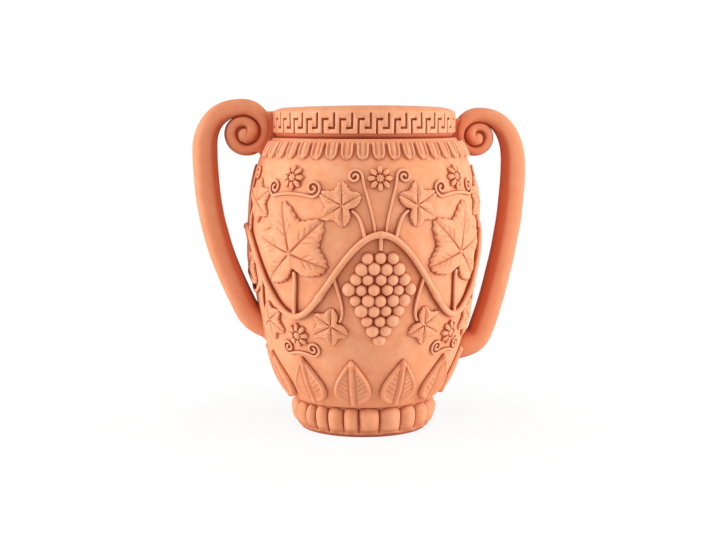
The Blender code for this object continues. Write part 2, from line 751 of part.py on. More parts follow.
def tendril_line(wall, azimuth, sign):
    """A tendril that rises beside a crest and winds up in a curl, as (point, half thickness) pairs."""
    length = wall.length_at(CURL_HEIGHT)
    entry = CURL_ASIDE - CURL_REACH / wall.radius_at(CURL_HEIGHT)
    entry_share = (CURL_HEIGHT - FOOT_HEIGHT) / FIELD_HEIGHT
    corners = (*CREST_TENDRIL, (math.degrees(entry), entry_share))
    radii = (TENDRIL_RADIUS, TENDRIL_RADIUS)
    line = shoot_line(wall, corners, azimuth, sign, TENDRIL_STEPS, radii)
    for step in range(1, CURL_STEPS + 1):
        turns = CURL_TURNS * step / CURL_STEPS
        angle = math.pi - FULL_TURN * turns
        reach = CURL_REACH - CURL_PITCH * turns
        across = sign * reach * math.cos(angle)
        up = reach * math.sin(angle)
        off = TENDRIL_RADIUS + SPRIG_GAP
        line.append((wall.lay(azimuth + sign * CURL_ASIDE, length + up, across, off), TENDRIL_RADIUS))
    return line


def make_shoots(wall, collection):
    """All the stalks and tendrils that grow from the stem."""
    lines = []
    radii = (STALK_RADIUS, STALK_TIP_RADIUS)

    def add_stalk(corners, azimuth, sign):
        lines.append(shoot_line(wall, corners, azimuth, sign, STALK_STEPS, radii))

    for crest in range(STEM_CRESTS):
        azimuth = FULL_TURN * crest / STEM_CRESTS
        for sign in (-1, 1):
            add_stalk(UPPER_LEAF_STALK, azimuth, sign)
            add_stalk(LOWER_LEAF_STALK, azimuth, sign)
            lines.append(tendril_line(wall, azimuth, sign))
    for _, azimuth in quarter_names():
        add_stalk(LARGE_LEAF_STALK, azimuth, math.copysign(1, math.sin(2 * azimuth)))
    for sign in (-1, 1):
        add_stalk(SIDE_LEAF_STALK, sign * RIGHT_ANGLE, sign)
    for azimuth in (0.0, math.pi):
        add_stalk(CLUSTER_STALK, azimuth, 1)
    shoots = coil_object("vine_shoots", lines, False, SHOOT_ROUNDNESS, collection)
    mark_cutter(shoots)
    return shoots


def make_stem(wall, collection, cutters, material):
    """The vine stem, one closed wave round the belly, with its shoots."""
    line = []
    for step in range(STEM_POINTS):
        azimuth = FULL_TURN * step / STEM_POINTS
        height = STEM_HEIGHT + STEM_SWING * math.cos(STEM_CRESTS * azimuth)
        point = wall.lay(azimuth, wall.length_at(height), 0.0, STEM_RADIUS + SPRIG_GAP)
        line.append((point, STEM_RADIUS))
    stem = coil_object("vine_stem", [line], True, STEM_ROUNDNESS, collection, material)
    add_boolean(stem, make_shoots(wall, cutters), "UNION")
    return stem


def is_on_vein(kind, angle, share):
    """Whether a vein of the sprig runs at an angle round its middle and a share of its reach."""
    if share == 0.0:
        return len(kind.veins) > 0
    return any(math.isclose(math.degrees(angle), vein, abs_tol=1.0) for vein in kind.veins)


def make_sprig(name, kind, place, wall, collection, material):
    """A domed sprig with a flat back, bent to the wall.

    The kind's outline gives the sprig's edge as (across, up) at an angle round its middle.
    """
    builder = bmesh.new()
    bmesh.ops.create_cone(
        builder, cap_ends=True, cap_tris=True, segments=kind.sides, radius1=1.0, radius2=1.0, depth=1.0
    )
    for level in (-1, 1):
        cap = [face for face in builder.faces if face.normal.z * level > 0.5]
        for _ in range(kind.rings - 1):
            bmesh.ops.inset_region(builder, faces=cap, thickness=0.1, use_even_offset=False)
    ring_of_distance = sorted({round(vert.co.xy.length, 3) for vert in builder.verts})
    length = wall.length_at(place.height)
    cosine, sine = math.cos(place.turn), math.sin(place.turn)
    for vert in builder.verts:
        angle = math.atan2(vert.co.y, vert.co.x)
        share = ring_of_distance.index(round(vert.co.xy.length, 3)) / kind.rings
        across, up = kind.outline(angle)
        across, up = across * share, up * share
        turned_across = across * cosine + up * sine
        turned_up = up * cosine - across * sine
        dome = kind.rim_share + (1 - kind.rim_share) * math.sqrt(max(0.0, 1 - share * share))
        if is_on_vein(kind, angle, share):
            dome *= 1 - LEAF_VEIN_SHARE
        off = SPRIG_GAP + (kind.relief * dome if vert.co.z > 0 else 0.0)
        vert.co = wall.lay(place.azimuth, length + turned_up, turned_across, off)
    return object_from_bmesh(name, builder, collection, material)


def vine_leaf(reach):
    """The outline of a five-lobed leaf that points up, with a notch at its stalk."""

    def outline(angle):
        length = LEAF_BODY_SHARE
        for middle, rise, spread in LEAF_LOBES:
            away = (math.degrees(angle) - middle + 180.0) % 360.0 - 180.0
            length += rise * math.exp(-((away / spread) ** 2))
        return reach * length * math.cos(angle), reach * length * math.sin(angle)

    return outline


def grape_spots():
    """Places of the grapes in a cluster, as (across, up) from its middle, packed like a honeycomb."""
    spots = []
    row_spacing = GRAPE_SPACING * math.sqrt(3) / 2
    row_count = int(CLUSTER_LENGTH / row_spacing)
    for row in range(-row_count, row_count + 1):
        up = row * row_spacing
        share = up / CLUSTER_LENGTH
        half = CLUSTER_WIDTH * math.sqrt(1 - share * share) * (1 + CLUSTER_TAPER_SHARE * share)
        shift = GRAPE_SPACING / 2 * (row % 2)
        columns = int((half - shift) / GRAPE_SPACING)
        places = [shift + column * GRAPE_SPACING for column in range(columns + 1)]
        spots += [(across, up) for across in places]
        spots += [(-across, up) for across in places if across > 0.0]
    return spots


def grape_height(across, up, spots):
    """How high the nearest grape stands off the wall at a place in its cluster."""
    near_across, near_up = min(spots, key=lambda spot: math.hypot(across - spot[0], up - spot[1]))
    outwards = math.hypot(near_across / CLUSTER_WIDTH, near_up / CLUSTER_LENGTH)
    middle = GRAPE_OFF_MIDDLE + (GRAPE_OFF_EDGE - GRAPE_OFF_MIDDLE) * outwards
    aside = math.hypot(across - near_across, up - near_up)
    return middle + math.sqrt(max(0.0, GRAPE_RADIUS**2 - aside**2))


def make_cluster(name, azimuth, wall, collection, material):
    """A cluster of grapes pressed from one sheet of clay, with a six-sided cell for each grape."""
    builder = bmesh.new()
    cell = GRAPE_SPACING / math.sqrt(3)
    spots = grape_spots()
    for across, up in spots:
        spot = Matrix.Translation((across, up, 0.0))
        bmesh.ops.create_circle(builder, cap_ends=True, segments=6, radius=cell, matrix=spot)
    bmesh.ops.remove_doubles(builder, verts=builder.verts, dist=cell / 10)
    back = builder.faces[:]
    back_corners = builder.verts[:]
    grown = bmesh.ops.extrude_face_region(builder, geom=back)
    front = [item for item in grown["geom"] if isinstance(item, bmesh.types.BMFace)]
    bmesh.ops.inset_individual(builder, faces=front, thickness=cell * GRAPE_SHOULDER_SHARE)
    bmesh.ops.poke(builder, faces=front)
    length = wall.length_at(CLUSTER_HEIGHT)
    for vert in set(builder.verts).difference(back_corners):
        vert.co.z = grape_height(vert.co.x, vert.co.y, spots)
    for vert in builder.verts:
        vert.co = wall.lay(azimuth, length + vert.co.y, vert.co.x, SPRIG_GAP + vert.co.z)
    bmesh.ops.recalc_face_normals(builder, faces=builder.faces)
    return object_from_bmesh(name, builder, collection, material)


def calyx_leaf(width, length):
    """The outline of a pointed leaf, broad below and narrow at its tip."""

    def outline(angle):
        taper = 1 - CALYX_TAPER_SHARE * math.sin(angle)
        slim = abs(math.cos(angle)) ** CALYX_SLIM_POWER
        return width * math.cos(angle) * slim * taper, length * math.sin(angle)

    return outline


def rosette(reach, petals):
    """The outline of a flower with round petals."""

    def outline(angle):
        length = reach * (1 - PETAL_NOTCH_SHARE + PETAL_NOTCH_SHARE * math.cos(petals * angle))
        return length * math.cos(angle), length * math.sin(angle)

    return outline


def make_tongue_band(name, azimuth, wall, collection, material):
    """A row of tongues that hangs under the collar, cut from one strip of clay."""
    columns = TONGUE_COUNT * 2
    builder = bmesh.new()
    grid = bmesh.ops.create_grid(builder, x_segments=columns, y_segments=TONGUE_ROWS, size=1.0)
    back = list({face for vert in grid["verts"] for face in vert.link_faces})
    grown = bmesh.ops.extrude_face_region(builder, geom=back)
    front = {item for item in grown["geom"] if isinstance(item, bmesh.types.BMVert)}
    bmesh.ops.recalc_face_normals(builder, faces=builder.faces)
    top = wall.length_at(TONGUE_TOP_HEIGHT)
    for vert in builder.verts:
        column = round((vert.co.x + 1) / 2 * columns)
        down = (1 - vert.co.y) / 2
        in_notch = column % 2 == 0
        length = TONGUE_LENGTH * (TONGUE_NOTCH_LENGTH_SHARE if in_notch else 1.0)
        height = TONGUE_RELIEF * (TONGUE_NOTCH_RELIEF_SHARE if in_notch else 1.0)
        across = (column - TONGUE_COUNT) / 2 * TONGUE_WIDTH
        angle = azimuth + across / SHOULDER_RADIUS
        off = SPRIG_GAP + (height if vert in front else 0.0)
        vert.co = wall.lay(angle, top - length * down, 0.0, off)
    bmesh.ops.recalc_face_normals(builder, faces=builder.faces)
    return object_from_bmesh(name, builder, collection, material)


def quarter_names():
    """The four sides between the handles and the middles, with their angles from the front."""
    half = RIGHT_ANGLE / 2
    return (("front_left", -half), ("front_right", half), ("back_right", 3 * half), ("back_left", -3 * half))


def make_sprigs(wall, collection, material):
    """All the moulded sprigs: leaves, clusters, rosettes, calyx and tongues."""

    def add(name, kind, azimuth, height, turn=0.0):
        make_sprig(name, kind, Place(azimuth, height, turn), wall, collection, material)

    def leaf(reach, relief, sides, rings):
        return Kind(vine_leaf(reach), sides, rings, relief, rim_share=0.5, veins=LEAF_VEINS)

    large_leaf = leaf(LARGE_LEAF_REACH, LARGE_LEAF_RELIEF, sides=30, rings=4)
    side_leaf = leaf(SIDE_LEAF_REACH, SIDE_LEAF_RELIEF, sides=24, rings=3)
    upper_leaf = leaf(UPPER_LEAF_REACH, SMALL_LEAF_RELIEF, sides=24, rings=2)
    lower_leaf = leaf(LOWER_LEAF_REACH, SMALL_LEAF_RELIEF, sides=24, rings=2)
    flower = Kind(
        rosette(ROSETTE_REACH, ROSETTE_PETALS), sides=16, rings=1, relief=ROSETTE_RELIEF, rim_share=0.5
    )
    calyx = Kind(
        calyx_leaf(CALYX_WIDTH, CALYX_LENGTH), sides=16, rings=2, relief=CALYX_RELIEF, rim_share=0.45
    )
    for name, azimuth in quarter_names():
        turn = math.copysign(LARGE_LEAF_TURN, math.sin(2 * azimuth))
        add("large_leaf_" + name, large_leaf, azimuth, LARGE_LEAF_HEIGHT, turn)
        add("upper_rosette_" + name, flower, azimuth, UPPER_ROSETTE_HEIGHT)
        add("lower_rosette_" + name, flower, azimuth, LOWER_ROSETTE_HEIGHT)
    for name, azimuth in (("left", -RIGHT_ANGLE), ("right", RIGHT_ANGLE)):
        add("side_leaf_" + name, side_leaf, azimuth, SIDE_LEAF_HEIGHT)
    for name, azimuth in (("front", 0.0), ("back", math.pi)):
        make_cluster("grape_cluster_" + name, azimuth, wall, collection, material)
        add("upper_rosette_" + name, flower, azimuth, UPPER_ROSETTE_HEIGHT)
        make_tongue_band("tongue_band_" + name, azimuth, wall, collection, material)
    for quarter, name in enumerate(("front", "right", "back", "left")):
        crest = quarter * RIGHT_ANGLE
        for hand, sign in (("a", -1), ("b", 1)):
            azimuth = crest + sign * UPPER_LEAF_ASIDE
            turn = sign * UPPER_LEAF_TURN
            add(f"upper_leaf_{name}_{hand}", upper_leaf, azimuth, UPPER_LEAF_HEIGHT, turn)
            azimuth = crest + sign * LOWER_LEAF_ASIDE
            turn = sign * LOWER_LEAF_TURN
            add(f"lower_leaf_{name}_{hand}", lower_leaf, azimuth, LOWER_LEAF_HEIGHT, turn)
    for index in range(CALYX_COUNT):
        azimuth = FULL_TURN * (index + 0.5) / CALYX_COUNT
        add(f"calyx_leaf_{index + 1:02d}", calyx, azimuth, CALYX_HEIGHT)


def main():
    """Build the planter."""
    remove_everything()
    parts = new_collection("amphora_planter")
    cutters = new_collection("cutters")
    wall = Wall()
    make_jar(wall, parts, clay("jar_clay", JAR_COLOUR))
    make_collar(parts, cutters, clay("collar_clay", COLLAR_COLOUR))
    make_foot(parts, clay("foot_clay", FOOT_COLOUR))
    envelope = make_pot_envelope(wall, cutters)
    handle_clay = clay("handle_clay", HANDLE_COLOUR)
    for handle in HANDLES:
        make_handle(handle, wall, envelope, parts, cutters, handle_clay)
    relief_clay = clay("relief_clay", RELIEF_COLOUR)
    make_stem(wall, parts, cutters, relief_clay)
    make_sprigs(wall, parts, relief_clay)


main()
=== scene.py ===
"""Terracotta amphora planter, laid out as a Blender add-on.

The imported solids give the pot's frame. Each operator replaces some of them by a finished piece in the
same place: the thrown jar, the collar with its key fret, the lobed foot ring, the two coil handles,
and the vine that is luted to the wall. Lengths are in metres, +Z is up and the front is -Y.
"""

import bisect
import math
import random
from collections import namedtuple

import bmesh
import bpy
from bpy.props import FloatProperty, FloatVectorProperty, IntProperty, PointerProperty
from mathutils import Matrix, Vector, noise
from mathutils.geometry import interpolate_bezier


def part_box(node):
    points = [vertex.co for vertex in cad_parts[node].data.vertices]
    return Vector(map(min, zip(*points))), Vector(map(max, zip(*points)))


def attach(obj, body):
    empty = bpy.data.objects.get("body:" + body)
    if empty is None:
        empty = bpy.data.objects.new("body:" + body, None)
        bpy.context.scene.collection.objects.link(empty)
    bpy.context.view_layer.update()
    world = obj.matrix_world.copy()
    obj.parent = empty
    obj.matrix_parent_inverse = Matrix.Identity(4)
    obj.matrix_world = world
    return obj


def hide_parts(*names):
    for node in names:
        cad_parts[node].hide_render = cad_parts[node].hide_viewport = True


bl_info = {
    "name": "Terracotta Amphora Planter",
    "version": (1, 0, 0),
    "blender": (4, 5, 0),
    "location": "View3D > Sidebar > Planter",
    "description": "Builds a hand-made terracotta amphora planter with a vine relief",
    "category": "Add Mesh",
}

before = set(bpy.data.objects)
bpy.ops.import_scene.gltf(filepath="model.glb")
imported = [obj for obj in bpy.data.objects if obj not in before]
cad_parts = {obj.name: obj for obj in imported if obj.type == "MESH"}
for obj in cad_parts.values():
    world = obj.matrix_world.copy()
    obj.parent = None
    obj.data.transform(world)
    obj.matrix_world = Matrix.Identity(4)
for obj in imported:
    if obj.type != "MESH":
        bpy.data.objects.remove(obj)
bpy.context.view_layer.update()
FOOT_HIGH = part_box("foot_ring")[1]
COLLAR_LOW, COLLAR_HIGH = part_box("key_collar")

RIGHT_ANGLE = math.pi / 2
MERGE_DISTANCE = 0.000002

# Sides of the pot, with their angles in degrees from the front towards +X.
FRONT_AND_BACK = (("front", 0.0), ("back", 180.0))
LEFT_AND_RIGHT = (("left", -90.0), ("right", 90.0))
QUARTERS = (("front", 0.0), ("right", 90.0), ("back", 180.0), ("left", 270.0))
CORNERS = (("front_left", -45.0), ("front_right", 45.0), ("back_right", 135.0), ("back_left", -135.0))

# One seed for all wandering, so that hand-made surfaces stray in the same way in every run.
WANDER_SEED = 7
noise.seed_set(WANDER_SEED)


def length_property(name, description, default):
    """A property that holds a length in metres."""
    return FloatProperty(name=name, description=description, default=default, precision=5, unit="LENGTH")


def angle_property(name, description, degrees):
    """A property that holds an angle, given in degrees."""
    return FloatProperty(name=name, description=description, default=math.radians(degrees), unit="ROTATION")


def colour_property(name, description, default):
    """A property that holds a linear colour."""
    return FloatVectorProperty(
        name=name, description=description, default=default, size=4, min=0.0, max=1.0, subtype="COLOR"
    )


def share_property(name, description, default):
    """A property that holds a share or a strength."""
    return FloatProperty(name=name, description=description, default=default, min=0.0, precision=3)


def power_property(name, description, default):
    """A property that holds a lamp's power in watts."""
    return FloatProperty(name=name, description=description, default=default, unit="POWER")


def count_property(name, description, default):
    """A property that holds how often something is repeated round the pot."""
    return IntProperty(name=name, description=description, default=default, min=3)


class JarShape(bpy.types.PropertyGroup):
    """Sizes of the thrown jar."""

    waist_radius: length_property("Waist radius", "Outside radius where the jar meets the foot", 0.0785)
    waist_height: length_property("Waist height", "Height of the waist", FOOT_HIGH.z + 0.0003)
    belly_radius: length_property("Belly radius", "Largest outside radius", 0.1275)
    belly_height: length_property("Belly height", "Height of the largest radius", 0.232)
    shoulder_radius: length_property("Shoulder radius", "Outside radius under the collar", 0.103)
    shoulder_height: length_property("Shoulder height", "Height of the joint with the collar", COLLAR_LOW.z)
    waist_lean: angle_property("Waist lean", "How far the wall leans out at the waist", 49.0)
    waist_run: length_property("Waist run", "How far the wall keeps its direction at the waist", 0.037)
    belly_run_down: length_property("Run below belly", "How far the wall stays upright below it", 0.090)
    belly_run_up: length_property("Run above belly", "How far the wall stays upright above it", 0.048)
    shoulder_lean: angle_property("Shoulder lean", "How far the wall leans in at the shoulder", 43.0)
    shoulder_run: length_property("Shoulder run", "How far the wall keeps its direction there", 0.023)
    wall: length_property("Wall", "Thickness of the wall", 0.011)
    floor: length_property("Floor", "Thickness of the floor", 0.013)
    drain_radius: length_property("Drain hole", "Radius of the hole in the floor", 0.011)
    mouth_radius: length_property("Mouth", "Inside radius of neck and collar", 0.0855)
    neck_radius: length_property("Neck", "Outside radius of the neck inside the collar", 0.0945)
    neck_height: length_property("Neck height", "How far the neck rises inside the collar", 0.014)
    throwing_ridge: length_property("Throwing ridges", "Depth of the ridges left inside", 0.0004)


class CollarShape(bpy.types.PropertyGroup):
    """Sizes of the collar and its key fret."""

    radius: length_property("Band radius", "Radius of the band that carries the fret", COLLAR_HIGH.x)
    fillet_height: length_property("Fillet height", "Height of the plain fillet below the band", 0.0055)
    fillet_step: length_property("Fillet step", "How far the fillet steps in", 0.0016)
    fillet_radius: length_property("Fillet radius", "Radius of the fillet where it meets the jar", 0.0985)
    lip_height: length_property("Lip height", "Height of the rounded lip above the band", 0.0095)
    fret_count: count_property("Fret repeats", "Repeats of the key fret", 33)
    groove: length_property("Groove width", "Width of the fret's grooves", 0.0019)
    depth: length_property("Groove depth", "Depth of the fret's grooves", 0.0023)
    arm: length_property("Hook arm", "Length of each hook's arm from the middle of its leg", 0.0062)
    reach: length_property("Hook reach", "Length of each hook's leg", 0.0163)
    offset: length_property("Hook offset", "From a rising leg to the hanging leg beside it", 0.0128)
    waver: length_property("Waver", "How far the hand-cut lines stray", 0.0004)
    lip_drop: length_property("Lip drop", "How far the lip is pressed down all round", 0.0010)
    lip_sag: length_property("Lip sag", "How much further it is pressed down beside the handles", 0.0024)


class FootShape(bpy.types.PropertyGroup):
    """Sizes of the foot ring."""

    radius: length_property("Radius", "Radius over the lobes", FOOT_HIGH.x)
    base_radius: length_property("Base radius", "Radius of the plain edge on the ground", 0.072)
    base_height: length_property("Base height", "Height of the plain edge on the ground", 0.0026)
    bore: length_property("Bore", "Inside radius", 0.058)
    lobes: count_property("Lobes", "Number of pressed lobes", 24)
    groove: length_property("Groove", "Depth of the creases between lobes", 0.0018)
    uneven: share_property("Unevenness", "How much the hand-pressed lobes differ in width", 0.26)
    lobe_turn: angle_property("Lobe turn", "Angle of the first crease from the front", 5.7)


class HandleShape(bpy.types.PropertyGroup):
    """Sizes that the two coil handles share."""

    strap: length_property("Strap", "Half thickness of the coil along the side", 0.0140)
    joint: length_property("Joint", "Half thickness of the coil at its lower end", 0.0180)
    joint_rounding: length_property("Joint rounding", "How far that end is rounded off", 0.004)
    joint_depth: length_property("Joint depth", "How far the coil goes into the wall", 0.006)
    smear: length_property("Smear", "Reach of the clay smeared round the joint", 0.0205)
    smear_rise: length_property("Smear rise", "Height of the smeared clay at its middle", 0.012)
    web: share_property("Web", "Half thickness of the web beside the volute, as a share of the coil's", 1.02)
    turns: share_property("Volute turns", "Turns of the volute from the top of the arch to its eye", 1.50)
    waver: length_property("Waver", "How far the hand-rolled surface strays", 0.0005)


class VineShape(bpy.types.PropertyGroup):
    """Sizes of the vine on the wall."""

    stem_radius: length_property("Stem", "Half thickness of the stem", 0.0036)
    stem_height: length_property("Stem height", "Height about which the stem waves", 0.184)
    stem_swing: length_property("Stem swing", "Height of the stem's waves", 0.045)
    tendril: length_property("Tendril", "Half thickness of tendrils and leaf stalks", 0.0020)
    large_leaf: length_property("Large leaf", "Reach of the leaves in the stem's troughs", 0.057)
    side_leaf: length_property("Side leaf", "Reach of the leaves under the handles", 0.036)
    upper_leaf: length_property("Upper leaf", "Reach of the leaves above the stem", 0.0285)
    lower_leaf: length_property("Lower leaf", "Reach of the leaves below the stem", 0.0255)
    large_relief: length_property("Large relief", "Relief of the large leaves", 0.0066)
    side_relief: length_property("Side relief", "Relief of the side leaves", 0.0055)
    small_relief: length_property("Small relief", "Relief of the small leaves", 0.0048)
    grape: length_property("Grape", "Radius of one grape", 0.0074)
    cluster_width: length_property("Cluster width", "Half width of a cluster", 0.033)
    cluster_length: length_property("Cluster length", "Half length of a cluster", 0.050)
    rosette: length_property("Rosette", "Reach of the rosettes", 0.0135)
    calyx_width: length_property("Calyx width", "Half width of the leaves above the foot", 0.0186)
    calyx_length: length_property("Calyx length", "Half length of the leaves above the foot", 0.0295)
    tongue_width: length_property("Tongue width", "Width of the tongues under the collar", 0.0150)
    tongue_length: length_property("Tongue length", "Length of the tongues under the collar", 0.0200)


class ClayLook(bpy.types.PropertyGroup):
    """Colours and grain of the fired clay, and the colours of its painted shade and highlight."""

    body: colour_property("Body", "Colour of the smooth clay", (0.800, 0.315, 0.150, 1.0))
    # Pale is the clay's own pale mottling, and on rubbed edges also a painted highlight.
    pale: colour_property("Pale", "Colour of rubbed clay", (0.920, 0.530, 0.340, 1.0))
    warm: colour_property("Warm", "Colour of the more strongly fired patches", (0.740, 0.255, 0.112, 1.0))
    # Painted shade on sides that face another piece and on the straps' inner sides; the handles' redder tint
    # also blends towards it.
    painted_shade: colour_property("Shaded", "Colour of sides that face another piece", (0.560, 0.115, 0.044, 1.0))
    # Crease is painted shade in creases and grooves, and also the clay's own colour for its grog specks.
    crease: colour_property("Crease", "Colour in creases and grooves", (0.340, 0.052, 0.018, 1.0))
    dust: colour_property("Dust", "Colour of the dry inside", (0.760, 0.400, 0.260, 1.0))
    roughness: share_property("Roughness", "Roughness of the unglazed surface", 0.80)
    grain: share_property("Grain", "Strength of the surface grain", 0.30)
    # The handles blend towards the painted shade colour by this share: partly a redder firing, partly painted
    # shade over the whole handle.
    handle_redness_and_shade: share_property("Handle redness", "How much redder the handles are fired", 0.38)


class StageLook(bpy.types.PropertyGroup):
    """Light, floor and camera."""

    floor: colour_property("Floor", "Colour of the floor", (0.90, 0.90, 0.90, 1.0))
    ambient: share_property("Ambient", "Strength of the even light from all round", 0.13)
    side_power: power_property("Side lights", "Power of each side light", 13.6)
    top_power: power_property("Top light", "Power of the light from above", 9.6)
    front_power: power_property("Front and back lights", "Power of each of them", 4.4)
    yaw: angle_property("Yaw", "Turn of the camera about the pot", -8.0)
    distance: length_property("Distance", "Distance of the camera from the pot's axis", 1.582)
    camera_height: length_property("Camera height", "Height of the camera above the floor", 0.35826)
    aim_height: length_property("Aim height", "Height of the point that the camera looks at", 0.17746)
    aim_aside: length_property("Aim aside", "How far that point lies to the right of the axis", -0.006215)
    focal_length: FloatProperty(
        name="Focal length", description="Lens on a 36 mm sensor", default=70.39, unit="CAMERA"
    )


class Value:
    """A shader socket that takes part in arithmetic. Each operation adds a Math node."""

    def __init__(self, graph, socket):
        self.graph = graph
        self.socket = socket

    def calculate(self, operation, first, second):
        """Add one Math node."""
        return self.graph.add("ShaderNodeMath", {"operation": operation}, {0: first, 1: second})

    def __add__(self, other):
        return self.calculate("ADD", self, other)

    __radd__ = __add__

    def __sub__(self, other):
        return self.calculate("SUBTRACT", self, other)

    def __rsub__(self, other):
        return self.calculate("SUBTRACT", other, self)

    def __mul__(self, other):
        return self.calculate("MULTIPLY", self, other)

    __rmul__ = __mul__


class Graph:
    """The nodes of one material or world."""

    def __init__(self, owner):
        owner.use_nodes = True
        self.tree = owner.node_tree
        self.tree.nodes.clear()

    def add(self, kind, settings=None, inputs=None, output=0):
        """Add a node, set it up, give its sockets values or links, and return one of its outputs."""
        node = self.tree.nodes.new(kind)
        for name, setting in (settings or {}).items():
            setattr(node, name, setting)
        for name, content in (inputs or {}).items():
            if isinstance(content, Value):
                self.tree.links.new(content.socket, node.inputs[name])
            else:
                node.inputs[name].default_value = content
        if len(node.outputs) == 0:
            return None
        return Value(self, node.outputs[output])

    def attribute(self, name):
        """A number that the mesh carries."""
        return self.add("ShaderNodeAttribute", {"attribute_name": name}, output="Fac")

    def blend(self, share, first, second):
        """Mix two colours."""
        settings = {"data_type": "RGBA", "clamp_factor": True}
        return self.add("ShaderNodeMix", settings, {0: share, 6: first, 7: second}, 2)

    def step(self, value, low, high):
        """Ease from 0 to 1 as a value goes from low to high."""
        settings = {"interpolation_type": "SMOOTHSTEP", "clamp": True}
        return self.add("ShaderNodeMapRange", settings, {"Value": value, "From Min": low, "From Max": high})

    def cloud(self, coordinates, scale, detail):
        """Soft noise between 0 and 1."""
        inputs = {"Vector": coordinates, "Scale": scale, "Detail": detail, "Roughness": 0.6}
        return self.add("ShaderNodeTexNoise", None, inputs)

    def shade(self, reach):
        """How much the surface is closed in by what lies within reach."""
        return 1.0 - self.add("ShaderNodeAmbientOcclusion", {"samples": 8}, {"Distance": reach}, "AO")


# Waves per metre of the clay's patches, mottling, dents, grain and grog, and of the strokes of wiping.
PATCH_SCALE = 11.0
MOTTLE_SCALE = 70.0
DENT_SCALE = 55.0
GRAIN_SCALE = 900.0
GROG_SCALE = 1500.0
WIPING_SCALE = (30.0, 30.0, 420.0)

# How far the painted shade looks for the clay's own creases, and for other pieces that the clay faces.
CREASE_REACH = 0.012
FACING_REACH = 0.09
GRAIN_DEPTH = 0.0009


def make_clay(name, look, redness_and_shade):
    """Unglazed fired clay: mottled and grainy, rubbed pale on its edges with a painted highlight there, and
    with painted shade in its creases, grooves and where it faces other pieces.
    """
    material = bpy.data.materials.new(name)
    graph = Graph(material)
    place = graph.add("ShaderNodeTexCoord", output="Object")
    hollow = graph.attribute("hollow")
    inside = graph.attribute("inside")
    sheltered = graph.attribute("sheltered")
    patches = graph.step(graph.cloud(place, PATCH_SCALE, 3.0), 0.42, 0.66)
    mottle = graph.step(graph.cloud(place, MOTTLE_SCALE, 4.0), 0.30, 0.72)
    grog = graph.step(graph.cloud(place, GROG_SCALE, 2.0), 0.62, 0.74)
    strokes = graph.add("ShaderNodeMapping", None, {"Vector": place, "Scale": WIPING_SCALE})
    # Convex edges are rubbed pale, which also paints a highlight along them.
    rubbed_and_highlit = graph.step(graph.add("ShaderNodeNewGeometry", output="Pointiness"), 0.505, 0.575)
    # Painted shade in creases, from occlusion within a short reach.
    crease_shade = graph.step(graph.shade(CREASE_REACH), 0.10, 0.75)
    above_ground = graph.step(graph.add("ShaderNodeSeparateXYZ", None, {0: place}, "Z"), 0.02, 0.10)
    # Painted shade on sides that face another piece, kept off the floor.
    facing = graph.step(graph.shade(FACING_REACH), 0.10, 0.70) * above_ground
    # Patches, mottling and grog are the clay's own tone. The rubbed edges carry a painted highlight, the
    # shaded and crease tints are painted shade, and the handles' redness is partly painted shade.
    tints = (
        (patches * 0.24, look.warm),
        (mottle * 0.30, look.pale),
        (rubbed_and_highlit * 0.42, look.pale),
        (inside * 0.65, look.dust),
        (facing * 0.80 + sheltered * 0.95 + redness_and_shade, look.painted_shade),
        (crease_shade * 0.75 + hollow * 0.70, look.crease),
        (grog * 0.16, look.crease),
    )
    colour = tuple(look.body)
    for share, tint in tints:
        colour = graph.blend(share, colour, tuple(tint))
    roughness = look.roughness + (mottle - 0.5) * 0.10 + hollow * 0.08
    height = graph.cloud(place, GRAIN_SCALE, 3.0) * 0.35 + graph.cloud(strokes, 1.0, 3.0) * 0.45
    height = height - grog * 0.4 + graph.cloud(place, DENT_SCALE, 2.0) * 0.8
    surface = {"Height": height, "Strength": look.grain, "Distance": GRAIN_DEPTH}
    normal = graph.add("ShaderNodeBump", None, surface)
    finish = {"Base Color": colour, "Roughness": roughness, "Normal": normal, "Specular IOR Level": 0.28}
    shader = graph.add("ShaderNodeBsdfPrincipled", None, finish)
    graph.add("ShaderNodeOutputMaterial", None, {"Surface": shader})
    return material


def clay_of(slot):
    """The finished clay of a slot, made the first time that it is asked for."""
    look = bpy.context.scene.planter_clay
    name = slot + "_finish"
    # Only the handles take the redder tint, which is partly painted shade.
    redness_and_shade = look.handle_redness_and_shade if slot == "handle_clay" else 0.0
    return bpy.data.materials.get(name) or make_clay(name, look, redness_and_shade)


def finish_piece(name, builder, slot, *nodes):
    """Turn a bmesh into a smooth piece that stands for CAD nodes, and set it on the pot."""
    bmesh.ops.remove_doubles(builder, verts=builder.verts, dist=MERGE_DISTANCE)
    bmesh.ops.recalc_face_normals(builder, faces=builder.faces)
    mesh = bpy.data.meshes.new(name)
    builder.to_mesh(mesh)
    builder.free()
    mesh.shade_smooth()
    mesh.materials.append(clay_of(slot))
    piece = bpy.data.objects.new(name, mesh)
    bpy.context.scene.collection.objects.link(piece)
    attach(piece, "root")
    if nodes:
        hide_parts(*nodes)


def stray(point, size, amount):
    """A smooth wandering offset, the same in every run, for hand-made surfaces."""
    return noise.noise_vector(point / size) * amount


def ease(value):
    """Smooth step of a value that is cut off to 0 and 1."""
    value = min(max(value, 0.0), 1.0)
    return value * value * (3.0 - 2.0 * value)


def bell(value, width):
    """A smooth hump that is 1 at 0 and fades over a width."""
    return math.exp(-((value / width) ** 2))


def arc(value):
    """The height of a round arc of radius 1 at a distance from its middle."""
    return math.sqrt(max(0.0, 1.0 - value * value))


def neighbours(row, index):
    """The entries before and after one, or the entry itself at an end of the row."""
    return row[max(index - 1, 0)], row[min(index + 1, len(row) - 1)]


LOWER_WALL_STEPS = 150
UPPER_WALL_STEPS = 100


